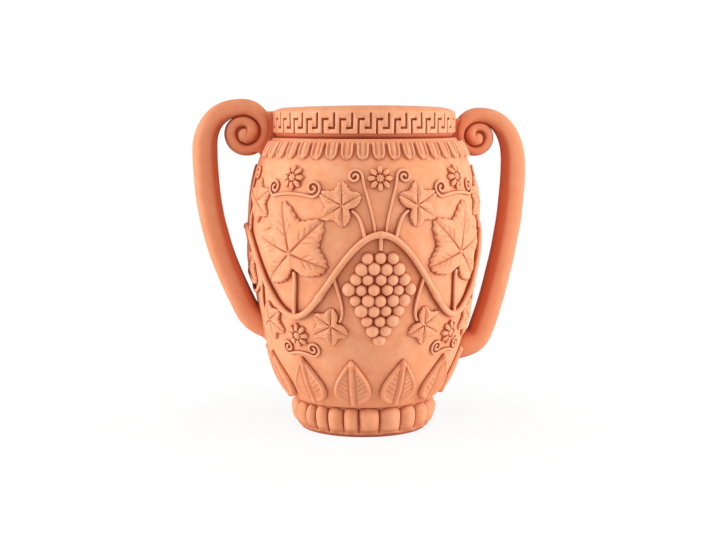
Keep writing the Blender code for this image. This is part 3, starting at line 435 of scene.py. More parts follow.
class Wall:
    """The jar's outside from waist to shoulder, and the way that pieces are laid on it."""

    def __init__(self, jar):
        waist = Vector((jar.waist_radius, jar.waist_height))
        belly = Vector((jar.belly_radius, jar.belly_height))
        shoulder = Vector((jar.shoulder_radius, jar.shoulder_height))
        flare = Vector((math.sin(jar.waist_lean), math.cos(jar.waist_lean))) * jar.waist_run
        turn_in = Vector((math.sin(jar.shoulder_lean), -math.cos(jar.shoulder_lean))) * jar.shoulder_run
        drop = Vector((0.0, jar.belly_run_down))
        rise = Vector((0.0, jar.belly_run_up))
        below = interpolate_bezier(waist, waist + flare, belly - drop, belly, LOWER_WALL_STEPS)
        above = interpolate_bezier(belly, belly + rise, shoulder + turn_in, shoulder, UPPER_WALL_STEPS)
        self.points = below + above[1:]
        self.lengths = [0.0]
        for first, second in zip(self.points, self.points[1:]):
            self.lengths.append(self.lengths[-1] + (second - first).length)
        self.heights = [point.y for point in self.points]
        self.normals = []
        for index in range(len(self.points)):
            before, after = neighbours(self.points, index)
            along = (after - before).normalized()
            self.normals.append(Vector((along.y, -along.x)))

    def between(self, table, value):
        """The index below a value in a rising table, and the share of the way to the next."""
        index = min(max(bisect.bisect_right(table, value) - 1, 0), len(table) - 2)
        return index, (value - table[index]) / (table[index + 1] - table[index])

    def length_at(self, height):
        """The distance along the wall from the waist up to a height."""
        index, share = self.between(self.heights, height)
        return self.lengths[index] + (self.lengths[index + 1] - self.lengths[index]) * share

    def radius_at(self, height):
        """The wall's radius at a height."""
        index, share = self.between(self.heights, height)
        return self.points[index].lerp(self.points[index + 1], share).x

    def section(self, length):
        """The wall's point and normal, as (out, up), at a distance along it."""
        index, share = self.between(self.lengths, length)
        point = self.points[index].lerp(self.points[index + 1], share)
        return point, self.normals[index].lerp(self.normals[index + 1], share)

    def lay(self, azimuth, length, across, off):
        """A point so far along the wall, so far across to the right, and so far off it."""
        point, normal = self.section(length)
        angle = azimuth + across / point.x
        reach = point.x + normal.x * off
        return Vector((math.sin(angle) * reach, -math.cos(angle) * reach, point.y + normal.y * off))


def the_wall():
    """The wall of the jar with its present sizes."""
    return Wall(bpy.context.scene.planter_jar)


def spin(builder, geometry, angle, steps, **options):
    """Turn geometry about Z."""
    middle = (0.0, 0.0, 0.0)
    axis = (0.0, 0.0, 1.0)
    bmesh.ops.spin(builder, geom=geometry, cent=middle, axis=axis, angle=angle, steps=steps, **options)


def spin_line(builder, line, steps, closed):
    """Turn a line of (radius, height) pairs once round Z."""
    corners = [builder.verts.new((radius, 0.0, height)) for radius, height in line]
    pairs = list(zip(corners, corners[1:]))
    if closed:
        pairs.append((corners[-1], corners[0]))
    edges = [builder.edges.new(pair) for pair in pairs]
    spin(builder, edges, math.tau, steps, use_merge=True)
    bmesh.ops.remove_doubles(builder, verts=builder.verts, dist=MERGE_DISTANCE)


def rounded(start, corner, end, steps):
    """A soft corner as (radius, height) pairs, without its start."""
    first, middle, last = Vector(start), Vector(corner), Vector(end)
    curve = interpolate_bezier(first, first.lerp(middle, 0.6), last.lerp(middle, 0.6), last, steps + 1)
    return [tuple(point) for point in curve[1:]]


def at_grid(table, coordinate):
    """The entry of a table for a grid's coordinate, which runs from -1 to 1."""
    return table[round((coordinate + 1.0) / 2.0 * (len(table) - 1))]


def tube(builder, stations, sides, fullness=1.0):
    """A tube through stations of (centre, sideways, outwards); the two vectors hold its half widths.

    A fullness of 1 gives a round section, and a smaller one a section with flatter sides.
    """
    grid = bmesh.ops.create_grid(builder, x_segments=sides, y_segments=len(stations) - 1, size=1.0)
    for vert in grid["verts"]:
        angle = math.pi * (vert.co.x + 1.0)
        cosine, sine = math.cos(angle), math.sin(angle)
        aside = math.copysign(abs(cosine) ** fullness, cosine)
        out = math.copysign(abs(sine) ** fullness, sine)
        centre, sideways, outwards = at_grid(stations, vert.co.y)
        vert.co = centre + sideways * aside + outwards * out
    return grid["verts"]


# How deep coils lie in the wall, and a short way off it that gives its direction.
COIL_SINK = 0.0003
SHORT_WAY = 0.001


def wall_stations(wall, path, radius_at):
    """Stations of a tube that lies on the wall along a path of (azimuth, length) pairs."""
    stations = []
    for index, (azimuth, length) in enumerate(path):
        radius = radius_at(index / (len(path) - 1))
        off = radius - COIL_SINK
        centre = wall.lay(azimuth, length, 0.0, off)
        outwards = (wall.lay(azimuth, length, 0.0, off + SHORT_WAY) - centre).normalized()
        before, after = neighbours(path, index)
        along = wall.lay(*after, 0.0, 0.0) - wall.lay(*before, 0.0, 0.0)
        sideways = along.cross(outwards).normalized()
        stations.append((centre, sideways * radius, outwards * radius))
    return stations


# A sprig's place on the wall: its angle from the front, its height, and its turn from upright. Angles are
# in degrees.
Place = namedtuple("Place", "azimuth height turn", defaults=(0.0,))

# A sprig's rings are even up to RING_LIMIT of its reach, and closer together over its rounded edge. The
# last ring lies past the reach and forms a skirt that goes into the wall.
RING_LIMIT = 0.93
EDGE_RINGS = [0.955, 0.975, 0.99, 1.0, 1.001]
SKIRT_START = 1.0005
SKIRT_DEPTH = 0.0008
EDGE_START = 0.90


def lay_disc(builder, wall, place, sides, rings, shape, skirt=0.6):
    """Bend a flat disc of rings on to the wall.

    shape gives (across, up, off, painted shade) at an angle round the disc's middle and a share of its reach.
    skirt is the painted shade on the skirt round it.
    """
    shares = [RING_LIMIT * ring / rings for ring in range(rings + 1)] + EDGE_RINGS
    spin_line(builder, [(share, 0.0) for share in shares], sides, False)
    hollow = builder.verts.layers.float.new("hollow")
    azimuth = math.radians(place.azimuth)
    length = wall.length_at(place.height)
    turn = math.radians(place.turn)
    cosine, sine = math.cos(turn), math.sin(turn)
    for vert in builder.verts:
        share = vert.co.xy.length
        across, up, off, depth = shape(math.atan2(vert.co.y, vert.co.x), min(share, 1.0))
        if share > SKIRT_START:
            off, depth = -SKIRT_DEPTH, skirt
        vert[hollow] = depth
        turned_across = across * cosine + up * sine
        turned_up = up * cosine - across * sine
        vert.co = wall.lay(azimuth, length + turned_up, turned_across, off)
    rim = [edge for edge in builder.edges if edge.is_boundary]
    bmesh.ops.holes_fill(builder, edges=rim, sides=0)


def press_sprig(wall, finish, node, place, sides, rings, shape):
    """Press one moulded sprig on to the wall in the place of its node."""
    builder = bmesh.new()
    lay_disc(builder, wall, place, sides, rings, shape)
    finish_piece(finish + node, builder, "relief_clay", node)


def edge_drop(share):
    """How much of the relief is left at a share of the reach, rounded off towards the edge."""
    past = max(0.0, (share - EDGE_START) / (1.0 - EDGE_START))
    return math.sqrt(1.0 - past * past * 0.85)


def segment_distance(x, y, segment):
    """The distance of a point from a line segment."""
    start_x, start_y, end_x, end_y = segment
    run_x, run_y = end_x - start_x, end_y - start_y
    along = ((x - start_x) * run_x + (y - start_y) * run_y) / (run_x * run_x + run_y * run_y)
    along = min(max(along, 0.0), 1.0)
    return math.hypot(x - start_x - run_x * along, y - start_y - run_y * along)


# The edge of a leaf of reach 1. Each lobe, and last the notch at the stalk, has the angle of its middle, the
# reach it adds and its spread, angles in degrees. Between the lobes the leaf reaches LEAF_BODY.
LEAF_BODY = 0.6
LEAF_LOBES = (
    (90.0, 0.40, 21.0),
    (30.0, 0.34, 19.0),
    (150.0, 0.34, 19.0),
    (-30.0, 0.22, 21.0),
    (-150.0, 0.22, 21.0),
    (-90.0, -0.30, 22.0),
)
TOOTH_DEPTH = 0.055

# Veins of a leaf, in shares of its reach. Side veins leave a main vein at SIDE_VEIN_ROOTS of its length, to
# both sides by SIDE_VEIN_LEAN radians.
MAIN_VEIN_REACH = 0.95
MAIN_VEIN_WIDTH = 0.034
SIDE_VEIN_ROOTS = (0.34, 0.52, 0.70)
SIDE_VEIN_REACH = 0.36
SIDE_VEIN_LEAN = 0.70
SIDE_VEIN_WIDTH = 0.022
PILLOW_WIDTH = 0.16
STALK_RIB = (0.0, 0.0, 0.0, -0.30)
STALK_RIB_WIDTH = 0.040


def leaf_reach(degrees):
    """The edge of a five-lobed leaf of reach 1, with the notch of its stalk at -90 degrees."""
    reach = LEAF_BODY
    for middle, rise, spread in LEAF_LOBES:
        away = (degrees - middle + 180.0) % 360.0 - 180.0
        reach += rise * bell(away, spread)
    return reach


def leaf_veins():
    """Veins of a leaf of reach 1: one from the middle into each lobe, and side veins off each."""
    main, side = [], []
    for middle, _, _ in LEAF_LOBES[:-1]:
        heading = math.radians(middle)
        span = leaf_reach(middle) * MAIN_VEIN_REACH
        main.append((0.0, 0.0, span * math.cos(heading), span * math.sin(heading)))
        for share in SIDE_VEIN_ROOTS:
            root_x = span * share * math.cos(heading)
            root_y = span * share * math.sin(heading)
            run = span * SIDE_VEIN_REACH * (1.08 - share)
            for lean in (-SIDE_VEIN_LEAN, SIDE_VEIN_LEAN):
                end_x = root_x + run * math.cos(heading + lean)
                end_y = root_y + run * math.sin(heading + lean)
                side.append((root_x, root_y, end_x, end_y))
    return main, side


MAIN_VEINS, SIDE_VEINS = leaf_veins()


def leaf_shape(reach, relief, teeth):
    """The surface of a vine leaf: domed, pillowed between cut veins, with a toothed edge."""

    def shape(angle, share):
        degrees = math.degrees(angle)
        saw = abs((degrees / 360.0 * teeth) % 1.0 - 0.5) * 2.0
        edge = leaf_reach(degrees) * (1.0 - TOOTH_DEPTH * saw * ease((share - 0.6) / 0.4))
        x, y = edge * share * math.cos(angle), edge * share * math.sin(angle)
        main_gap = min(segment_distance(x, y, vein) for vein in MAIN_VEINS)
        side_gap = min(segment_distance(x, y, vein) for vein in SIDE_VEINS)
        rib = bell(segment_distance(x, y, STALK_RIB), STALK_RIB_WIDTH)
        cut = max(1.0 - ease(main_gap / MAIN_VEIN_WIDTH), 0.6 * (1.0 - ease(side_gap / SIDE_VEIN_WIDTH)))
        cut *= 1.0 - rib
        dome = 0.50 + 0.50 * arc(share)
        pillow = 0.78 + 0.26 * ease(main_gap / PILLOW_WIDTH)
        off = relief * (dome * pillow - 0.22 * cut + 0.20 * rib) * edge_drop(share)
        # The last value is painted shade in the cut veins.
        return reach * x, reach * y, off, 0.75 * cut

    return shape


# Relief of a rosette's petals and button, and the depth of the cuts between petals and round the button.
PETALS = 8
PETAL_RELIEF = 0.0046
PETAL_CUT = 0.0020
BUTTON_RELIEF = 0.0052
BUTTON_SHARE = 0.36
MOAT_SHARE = 0.38
MOAT_CUT = 0.0016


def rosette_shape(reach):
    """The surface of a flower: round petals with a cut between them, and a button in the middle."""

    def shape(angle, share):
        wave = math.cos(PETALS * angle)
        edge = reach * (0.88 + 0.12 * wave) * share
        petal = PETAL_RELIEF * (0.62 + 0.38 * math.sin(math.pi * min(1.0, share * 1.05)))
        cut = ease((-wave - 0.35) / 0.65) * ease((share - 0.30) / 0.15)
        moat = bell(share - MOAT_SHARE, 0.06)
        button = BUTTON_RELIEF * arc(share / BUTTON_SHARE)
        off = max(petal - PETAL_CUT * cut - MOAT_CUT * moat, button) * edge_drop(share)
        # The last value is painted shade in the cuts between the petals and round the button.
        return edge * math.cos(angle), edge * math.sin(angle), off, 0.7 * max(cut, moat)

    return shape


# A calyx leaf's relief, the width of its midrib, the place and width of the groove beside it, and the
# spacing and start of its side veins.
CALYX_RELIEF = 0.0055
MIDRIB_WIDTH = 0.0016
MIDRIB_GROOVE = 0.0036
MIDRIB_GROOVE_WIDTH = 0.0012
CALYX_VEIN_SPACING = 0.0062
CALYX_VEIN_START = 0.0044


def calyx_shape(width, length):
    """The surface of a pointed leaf: a raised midrib, a veined blade, and a rolled edge."""

    def shape(angle, share):
        slim = abs(math.cos(angle)) ** 0.3
        x = width * math.cos(angle) * slim * (1.0 - 0.55 * math.sin(angle)) * share
        y = length * math.sin(angle) * share
        rib = bell(x, MIDRIB_WIDTH)
        groove = bell(abs(x) - MIDRIB_GROOVE, MIDRIB_GROOVE_WIDTH)
        roll = bell(share - 0.86, 0.10)
        row = (y - 0.8 * abs(x)) / CALYX_VEIN_SPACING
        vein = bell(row - round(row), 0.15) * ease((abs(x) - CALYX_VEIN_START) / 0.0015)
        vein *= 1.0 - ease((share - 0.70) / 0.10)
        blade = 0.62 + 0.22 * rib - 0.14 * groove - 0.10 * vein + 0.26 * roll + 0.12 * (1.0 - share)
        # The last value is painted shade in the grooves beside the midrib and in the side veins.
        return x, y, CALYX_RELIEF * blade * edge_drop(share), 0.6 * max(groove, vein)

    return shape


CLUSTER_TAPER = 0.42
MOUND_RELIEF = 0.0036


def mound_shape(width, length):
    """The low mound under a cluster's grapes."""

    def shape(angle, share):
        x = 0.80 * width * math.cos(angle) * (1.0 + CLUSTER_TAPER * math.sin(angle)) * share
        y = 0.84 * length * math.sin(angle) * share
        # The last value is painted shade over the mound between the grapes.
        return x, y, MOUND_RELIEF * math.sqrt(1.0 - 0.8 * share * share) * edge_drop(share), 0.9

    return shape


def smear_shape(reach, rise):
    """Clay that is smeared out round a joint and fades into the wall."""

    def shape(angle, share):
        off = rise * (1.0 - ease(share))
        return reach * share * math.cos(angle), reach * share * math.sin(angle), off, 0.0

    return shape


# Distance between the grapes' middles, as a share of a grape's radius.
GRAPE_SPACING = 1.72


def cluster_spots(width, length, grape):
    """Places of the grapes in a cluster, as (across, up), packed like a honeycomb."""
    spacing = GRAPE_SPACING * grape
    row_spacing = spacing * math.sqrt(3.0) / 2.0
    row_count = int(length / row_spacing)
    spots = []
    for row in range(-row_count, row_count + 1):
        up = row * row_spacing
        half = width * arc(up / length) * (1.0 + CLUSTER_TAPER * up / length)
        shift = spacing / 2.0 * (row % 2)
        columns = int((half - shift) / spacing)
        places = [shift + column * spacing for column in range(columns + 1)]
        spots += [(across, up) for across in places]
        spots += [(-across, up) for across in places if across > 0.0]
    return spots


# The jar's seat in the foot ring, the roundings of its drain hole, the low crown of its floor as radius and
# rise, the radius where the floor begins to sweep up, and the spacing of the throwing ridges.
SEAT_DEPTH = 0.008
SEAT_WALL = 0.007
DRAIN_ROUND_BELOW = 0.002
DRAIN_ROUND_ABOVE = 0.003
FLOOR_CROWN = (0.030, 0.0004)
FLOOR_RADIUS = 0.048
FLOOR_SWEEP = 0.006
RIDGE_SPACING = 0.0095
JAR_STEPS = 192

# The dusty inside starts so far in from the wall's outside, and so far down the drain hole.
INSIDE_MARGIN = 0.004
DRAIN_DUST = 0.0027


class PLANTER_OT_jar(bpy.types.Operator):
    """Turn the jar: wall, floor with its drain hole, and the neck inside the collar"""

    bl_idname = "planter.jar"
    bl_label = "Make Jar"

    def execute(self, context):
        jar = context.scene.planter_jar
        wall = the_wall()
        underside = jar.waist_height - SEAT_DEPTH
        floor = underside + jar.floor
        neck_top = jar.shoulder_height + jar.neck_height
        line = self.outside(jar, context.scene.planter_foot, wall, underside, neck_top)
        line += self.inside(jar, wall, underside, floor, neck_top)
        builder = bmesh.new()
        inside = builder.verts.layers.float.new("inside")
        spin_line(builder, line, JAR_STEPS, True)
        for vert in builder.verts:
            within = vert.co.xy.length < wall.radius_at(vert.co.z) - INSIDE_MARGIN
            if within and floor - DRAIN_DUST <= vert.co.z < neck_top:
                vert[inside] = 1.0
        finish_piece("thrown_jar", builder, "jar_clay", "jar_body")
        return {"FINISHED"}

    def outside(self, jar, foot, wall, underside, neck_top):
        """The section from the neck down the wall to the edge of the drain hole."""
        seat_radius = jar.waist_radius - SEAT_WALL
        line = [(jar.neck_radius, neck_top), (jar.neck_radius, jar.shoulder_height + 0.0004)]
        line += [(point.x, point.y) for point in reversed(wall.points[::2])]
        line += [(seat_radius, jar.waist_height), (seat_radius, underside), (foot.bore, underside)]
        return line + [(jar.drain_radius + DRAIN_ROUND_BELOW, underside)]

    def inside(self, jar, wall, underside, floor, neck_top):
        """The section from the edge of the drain hole over the floor and up to the neck."""
        drain = jar.drain_radius
        start = (drain + DRAIN_ROUND_BELOW, underside)
        line = rounded(start, (drain, underside), (drain, underside + DRAIN_ROUND_BELOW), 3)
        line += [(drain, floor - DRAIN_ROUND_ABOVE)]
        line += rounded(line[-1], (drain, floor), (drain + DRAIN_ROUND_ABOVE, floor), 3)
        line += [(FLOOR_CROWN[0], floor + FLOOR_CROWN[1]), (FLOOR_RADIUS, floor)]
        upwards = []
        for point, normal in zip(wall.points[::2], wall.normals[::2]):
            spot = point - normal * jar.wall
            ridge = jar.throwing_ridge * math.sin(spot.y / RIDGE_SPACING * math.tau)
            if spot.y > floor + jar.wall:
                upwards.append((spot.x + ridge, spot.y))
        corner = jar.waist_radius - SEAT_WALL - jar.wall + FLOOR_SWEEP
        line += rounded(line[-1], (corner, floor), upwards[0], 6) + upwards[1:]
        mouth = jar.mouth_radius
        return line + rounded(line[-1], (mouth, jar.shoulder_height), (mouth, neck_top), 5)


# The softness of the fret's edges, how far its grooves run past the band, and the radius of the drilled
# ends of its hooks as a share of half a groove.
FRET_SOFTNESS = 0.00042
FRET_OVERRUN = 0.0016
FRET_END_SHARE = 1.35


class Fret:
    """The grooves of the key fret in one repeat of the band, laid out flat."""

    def __init__(self, shape, low, high):
        half = shape.groove / 2
        left, right = shape.offset - half, shape.offset + half
        rising_arm = low + shape.reach
        hanging_arm = high - shape.reach
        self.boxes = (
            (-half, half, low - FRET_OVERRUN, rising_arm),
            (-half, shape.arm, rising_arm - shape.groove, rising_arm),
            (left, right, hanging_arm, high + FRET_OVERRUN),
            (shape.offset - shape.arm, right, hanging_arm, hanging_arm + shape.groove),
        )
        self.ends = (
            (shape.arm - half, rising_arm - half),
            (shape.offset - shape.arm + half, hanging_arm + half),
        )
        self.end_radius = FRET_END_SHARE * half
        self.repeat = math.tau * shape.radius / shape.fret_count
        self.start = (shape.offset - self.repeat) / 2

    def soft_edges(self, first, second):
        """Places at and beside two edges."""
        shifts = (-FRET_SOFTNESS, 0.0, FRET_SOFTNESS)
        return [edge + shift for edge in (first, second) for shift in shifts]

    def columns(self):
        """Places across one repeat at which the mesh needs a line."""
        end = self.start + self.repeat
        places = {self.start, end}
        for left, right, _, _ in self.boxes:
            places.update(self.soft_edges(left, right))
            places.add((left + right) / 2)
        return sorted(place for place in places if self.start <= place <= end)

    def rows(self, low, high):
        """Heights between two limits at which the mesh needs a line."""
        heights = {low + 0.0001, high - 0.0001}
        for _, _, bottom, top in self.boxes:
            heights.update(self.soft_edges(bottom, top))
        return sorted(height for height in heights if low < height < high)

    def cut_at(self, across, height):
        """How deep the fret is cut at a place, and how much shade is painted in the cut, both from 0 to 1."""
        gaps = [
            min(across - left, right - across, height - low, high - height)
            for left, right, low, high in self.boxes
        ]
        from_end = min(math.hypot(across - end[0], height - end[1]) for end in self.ends)
        gap = max(*gaps, self.end_radius - from_end)
        cut = ease((gap + FRET_SOFTNESS) / (2 * FRET_SOFTNESS))
        return cut, cut * (1.0 - 0.5 * ease((from_end - 0.001) / 0.006))


# Roundings of the collar: where the fillet turns out to the band, the band's lower edge, how the lip rises
# from the band and flattens to its rim, and the rim's inner edge.
FILLET_ROUND = 0.0016
FILLET_LEAN = 0.0008
BAND_ROUND_OUT = 0.0009
BAND_ROUND_UP = 0.0008
BAND_END = 0.0004
LIP_SWELL = 0.0002
LIP_RISE = 0.0034
LIP_FLAT = 0.0062
RIM_ROUND = 0.0030
RIM_DEPTH = 0.0040
LIP_STEPS = 10


class PLANTER_OT_collar(bpy.types.Operator):
    """Turn the collar and cut the key fret into its band"""

    bl_idname = "planter.collar"
    bl_label = "Make Collar"

    def execute(self, context):
        shape = context.scene.planter_collar
        band_low = COLLAR_LOW.z + shape.fillet_height
        band_high = COLLAR_HIGH.z - shape.lip_height
        fret = Fret(shape, band_low, band_high)
        columns = fret.columns()
        line = self.section(context.scene.planter_jar, shape, fret, band_low, band_high)
        builder = bmesh.new()
        hollow = builder.verts.layers.float.new("hollow")
        bmesh.ops.create_grid(builder, x_segments=len(columns) - 1, y_segments=len(line) - 1, size=1.0)
        for vert in builder.verts:
            across = at_grid(columns, vert.co.x)
            radius, height = at_grid(line, vert.co.y)
            is_face = radius > shape.radius - 0.0010 and height < band_high + 0.0012
            cut, cut_shade = fret.cut_at(across, height) if is_face else (0.0, 0.0)
            floor = min(radius, shape.radius - shape.depth)
            reach = radius + (floor - radius) * cut
            angle = across / shape.radius
            # Painted shade in the fret's grooves, deepest near the drilled ends.
            vert[hollow] = cut_shade
            vert.co = (math.sin(angle) * reach, -math.cos(angle) * reach, height)
        everything = builder.verts[:] + builder.edges[:] + builder.faces[:]
        turn = math.tau * (1.0 - 1.0 / shape.fret_count)
        spin(builder, everything, turn, shape.fret_count - 1, use_duplicate=True)
        bmesh.ops.remove_doubles(builder, verts=builder.verts, dist=0.00001)
        for vert in builder.verts:
            past_band = vert.co.z - band_high
            wander = stray(vert.co, 0.016, shape.waver * ease((vert.co.z - COLLAR_LOW.z) / 0.004))
            wander.z *= 1.0 - ease(past_band / 0.003)
            aside = vert.co.x * vert.co.x / vert.co.xy.length_squared
            wander.z -= ease(past_band / shape.lip_height) * (shape.lip_drop + shape.lip_sag * aside)
            vert.co += wander
        finish_piece("fret_collar", builder, "collar_clay", "key_collar")
        return {"FINISHED"}

    def section(self, jar, shape, fret, band_low, band_high):
        """The section from the jar's shoulder up the outside, over the lip and down to the neck."""
        base, top = COLLAR_LOW.z, COLLAR_HIGH.z
        radius, mouth = shape.radius, jar.mouth_radius
        step_radius = radius - shape.fillet_step
        neck_top = base + jar.neck_height
        line = [(jar.neck_radius, base), (shape.fillet_radius, base)]
        line += [(step_radius - FILLET_LEAN, band_low - FILLET_ROUND)]
        line += rounded(line[-1], (step_radius, band_low), (radius - BAND_ROUND_OUT, band_low), 4)
        line += rounded(line[-1], (radius, band_low), (radius, band_low + BAND_ROUND_UP), 3)
        rows = fret.rows(band_low + BAND_ROUND_UP, band_high - BAND_END)
        line += [(radius, height) for height in rows]
        foot = Vector((radius, band_high))
        rim = Vector((mouth + RIM_ROUND, top))
        lean = foot + Vector((LIP_SWELL, LIP_RISE))
        lip = interpolate_bezier(foot, lean, rim + Vector((LIP_FLAT, 0.0)), rim, LIP_STEPS)
        line += [(point.x, point.y) for point in lip]
        line += rounded(line[-1], (mouth, top), (mouth, top - RIM_DEPTH), 5)
        return line + [(mouth, neck_top + 0.0003), (jar.neck_radius, neck_top)]


# The foot ring's mesh, its roundings on the ground, and the seat for the jar. Of the lobes: the width of
# their creases, and how much they swell, rise at the top and waver.
LOBE_COLUMNS = 20
BULGE_ROWS = 18
FOOT_ROUND = 0.002
FOOT_TUCK = 0.001
SEAT_CLEARANCE = 0.0005
CREASE_WIDTH = 0.0009
LOBE_SWELL = 0.0064
LOBE_RISE = 0.0046
LOBE_WAVER = 0.0010
LOBE_SEED = 16610


class PLANTER_OT_foot(bpy.types.Operator):
    """Turn the foot ring and press its lobes"""

    bl_idname = "planter.foot"
    bl_label = "Make Foot Ring"

    def execute(self, context):
        jar = context.scene.planter_jar
        foot = context.scene.planter_foot
        builder = bmesh.new()
        spin_line(builder, self.section(jar, foot), foot.lobes * LOBE_COLUMNS, True)
        self.press_lobes(builder, foot, jar.waist_radius - 0.004)
        finish_piece("lobed_foot", builder, "foot_clay", "foot_ring")
        return {"FINISHED"}

    def section(self, jar, foot):
        """The section down the bulge, along the ground and up the bore to the jar's seat."""
        top = FOOT_HIGH.z
        middle = (top + foot.base_height) / 2
        half = (top - foot.base_height) / 2
        swell = foot.radius - (jar.waist_radius + foot.base_radius) / 2
        edge = jar.waist_radius - FOOT_TUCK
        line = []
        for row in range(BULGE_ROWS + 1):
            share = row / BULGE_ROWS
            radius = edge + (foot.base_radius - edge) * share + swell * math.sin(math.pi * share) ** 0.85
            line.append((radius, middle + half * math.cos(math.pi * share)))
        line += [(foot.base_radius + 0.0004, foot.base_height - 0.0006), (foot.base_radius, 0.0015)]
        line += rounded(line[-1], (foot.base_radius, 0.0), (foot.base_radius - FOOT_ROUND, 0.0), 3)
        line += [(foot.bore + FOOT_ROUND, 0.0)]
        line += rounded(line[-1], (foot.bore, 0.0), (foot.bore, FOOT_ROUND), 3)
        seat = top - SEAT_DEPTH - SEAT_CLEARANCE
        seat_radius = jar.waist_radius - SEAT_WALL + 0.0003
        return line + [(foot.bore, seat), (seat_radius, seat), (seat_radius, top - 0.0004)]

    def press_lobes(self, builder, foot, bulge_radius):
        """Press uneven lobes into all that lies outside a radius."""
        hollow = builder.verts.layers.float.new("hollow")
        chance = random.Random(LOBE_SEED)
        widths = [1.0 + foot.uneven * (chance.random() * 2.0 - 1.0) for _ in range(foot.lobes)]
        fullness = [chance.uniform(0.75, 1.15) for _ in range(foot.lobes)]
        pressed = [chance.uniform(0.3, 1.3) for _ in range(foot.lobes)]
        edges = [sum(widths[:lobe]) for lobe in range(foot.lobes)]
        unit = math.tau / sum(widths)
        for vert in builder.verts:
            radius, height = vert.co.xy.length, vert.co.z
            turn = math.atan2(vert.co.x, -vert.co.y) % math.tau / math.tau * foot.lobes
            lobe = int(turn + 0.0001)
            share = 0.5 - 0.5 * math.cos(math.pi * max(0.0, turn - lobe))
            lobe %= foot.lobes
            angle = foot.lobe_turn + (edges[lobe] + share * widths[lobe]) * unit
            up = (height - foot.base_height) / (FOOT_HIGH.z - foot.base_height)
            on_bulge = radius > bulge_radius and 0.02 < up < 0.999
            if on_bulge:
                from_crease = min(share, 1.0 - share) * widths[lobe] * unit * radius
                nearest = lobe if share < 0.5 else (lobe + 1) % foot.lobes
                crease = pressed[nearest] * bell(from_crease, CREASE_WIDTH)
                across = 1.0 - (2.0 * share - 1.0) ** 2
                pillow = across * (1.0 - abs(2.0 * up - 1.05) ** 2.6)
                hold = ease(up / 0.14)
                swelling = LOBE_SWELL * fullness[lobe] * (pillow - 0.72)
                radius += hold * (swelling - foot.groove * crease * (0.4 + 0.6 * up))
                # Painted shade in the creases between the lobes.
                vert[hollow] = crease * hold * 0.22
                rise = LOBE_RISE * (across - 0.72) + LOBE_WAVER * noise.noise(vert.co / 0.02)
                height += rise * ease((up - 0.72) / 0.28)
            vert.co = (math.sin(angle) * radius, -math.cos(angle) * radius, height)
            if on_bulge:
                vert.co += stray(vert.co, 0.020, 0.0005)


# side is -1 at -X and 1 at +X. crown is the strap's farthest middle line from the axis, knee the place
# where it leans in towards the wall, joint_height where its end meets the wall. The volute's spiral has
# its middle at volute_out and volute_height, starts at spiral_start and loses spiral_pitch in one turn.
# coil_start, coil_end and eye are the coil's half thickness at its start, round its first turn and at
# its rounded end.
Handle = namedtuple(
    "Handle",
    "name side crown_out crown_height knee_out knee_height knee_lean joint_height "
    "volute_out volute_height spiral_start spiral_pitch coil_start coil_end eye",
)

HANDLES = (
    Handle(
        name="handle_left",
        side=-1,
        crown_out=0.1775,
        crown_height=0.3135,
        knee_out=0.1395,
        knee_height=0.1500,
        knee_lean=math.radians(26.0),
        joint_height=0.1170,
        volute_out=0.1337,
        volute_height=0.3340,
        spiral_start=0.0272,
        spiral_pitch=0.0155,
        coil_start=0.0092,
        coil_end=0.0066,
        eye=0.0090,
    ),
    Handle(
        name="handle_right",
        side=1,
        crown_out=0.1725,
        crown_height=0.2950,
        knee_out=0.1362,
        knee_height=0.1060,
        knee_lean=math.radians(20.0),
        joint_height=0.0870,
        volute_out=0.1296,
        volute_height=0.3289,
        spiral_start=0.0236,
        spiral_pitch=0.0134,
        coil_start=0.0085,
        coil_end=0.0057,
        eye=0.0078,
    ),
)

# The handle's line: how steeply it leaves the wall, and how far it keeps its direction at the joint, below
# and above the knee, and under the crown.
JOINT_RISE = math.radians(8.0)
JOINT_RUN = 0.032
KNEE_RUN_DOWN = 0.017
KNEE_RUN_UP = 0.060
CROWN_RUN = 0.060
ARCH_FULLNESS = 0.88
LOWER_STEPS = 32
UPPER_STEPS = 36
ARCH_STEPS = 24
COIL_STEPS_PER_TURN = 48
CAP_STEPS = 10
COIL_SIDES = 32
COIL_FULLNESS = 0.80

# The part of a turn in which the coil thins and thickens, and how far the volute stands out.
COIL_CHANGE = 0.35
VOLUTE_SWELL = 0.0012

# The web follows the volute from its first turn over a span of turns. It starts inside the collar, and its
# sole lies below the coil's middle line.
WEB_FIRST_TURN = 0.08
WEB_SPAN = 0.44
WEB_INNER = 0.0965
WEB_SOLE = 0.0078
WEB_CELLS = 24

# The middle of the hollow between jar and strap, round which the strap's inner side gets painted shade, and
# where that shade ends beside the volute and how far it fades.
STRAP_SHADE_RADIUS = 0.09
STRAP_SHADE_END = 0.022
STRAP_SHADE_FADE = 0.010


def spiral_spot(handle, turns):
    """A point of the volute's middle line after so many turns, as (out, height)."""
    angle = RIGHT_ANGLE + math.tau * turns
    radius = handle.spiral_start - handle.spiral_pitch * turns
    return handle.volute_out + radius * math.cos(angle), handle.volute_height + radius * math.sin(angle)


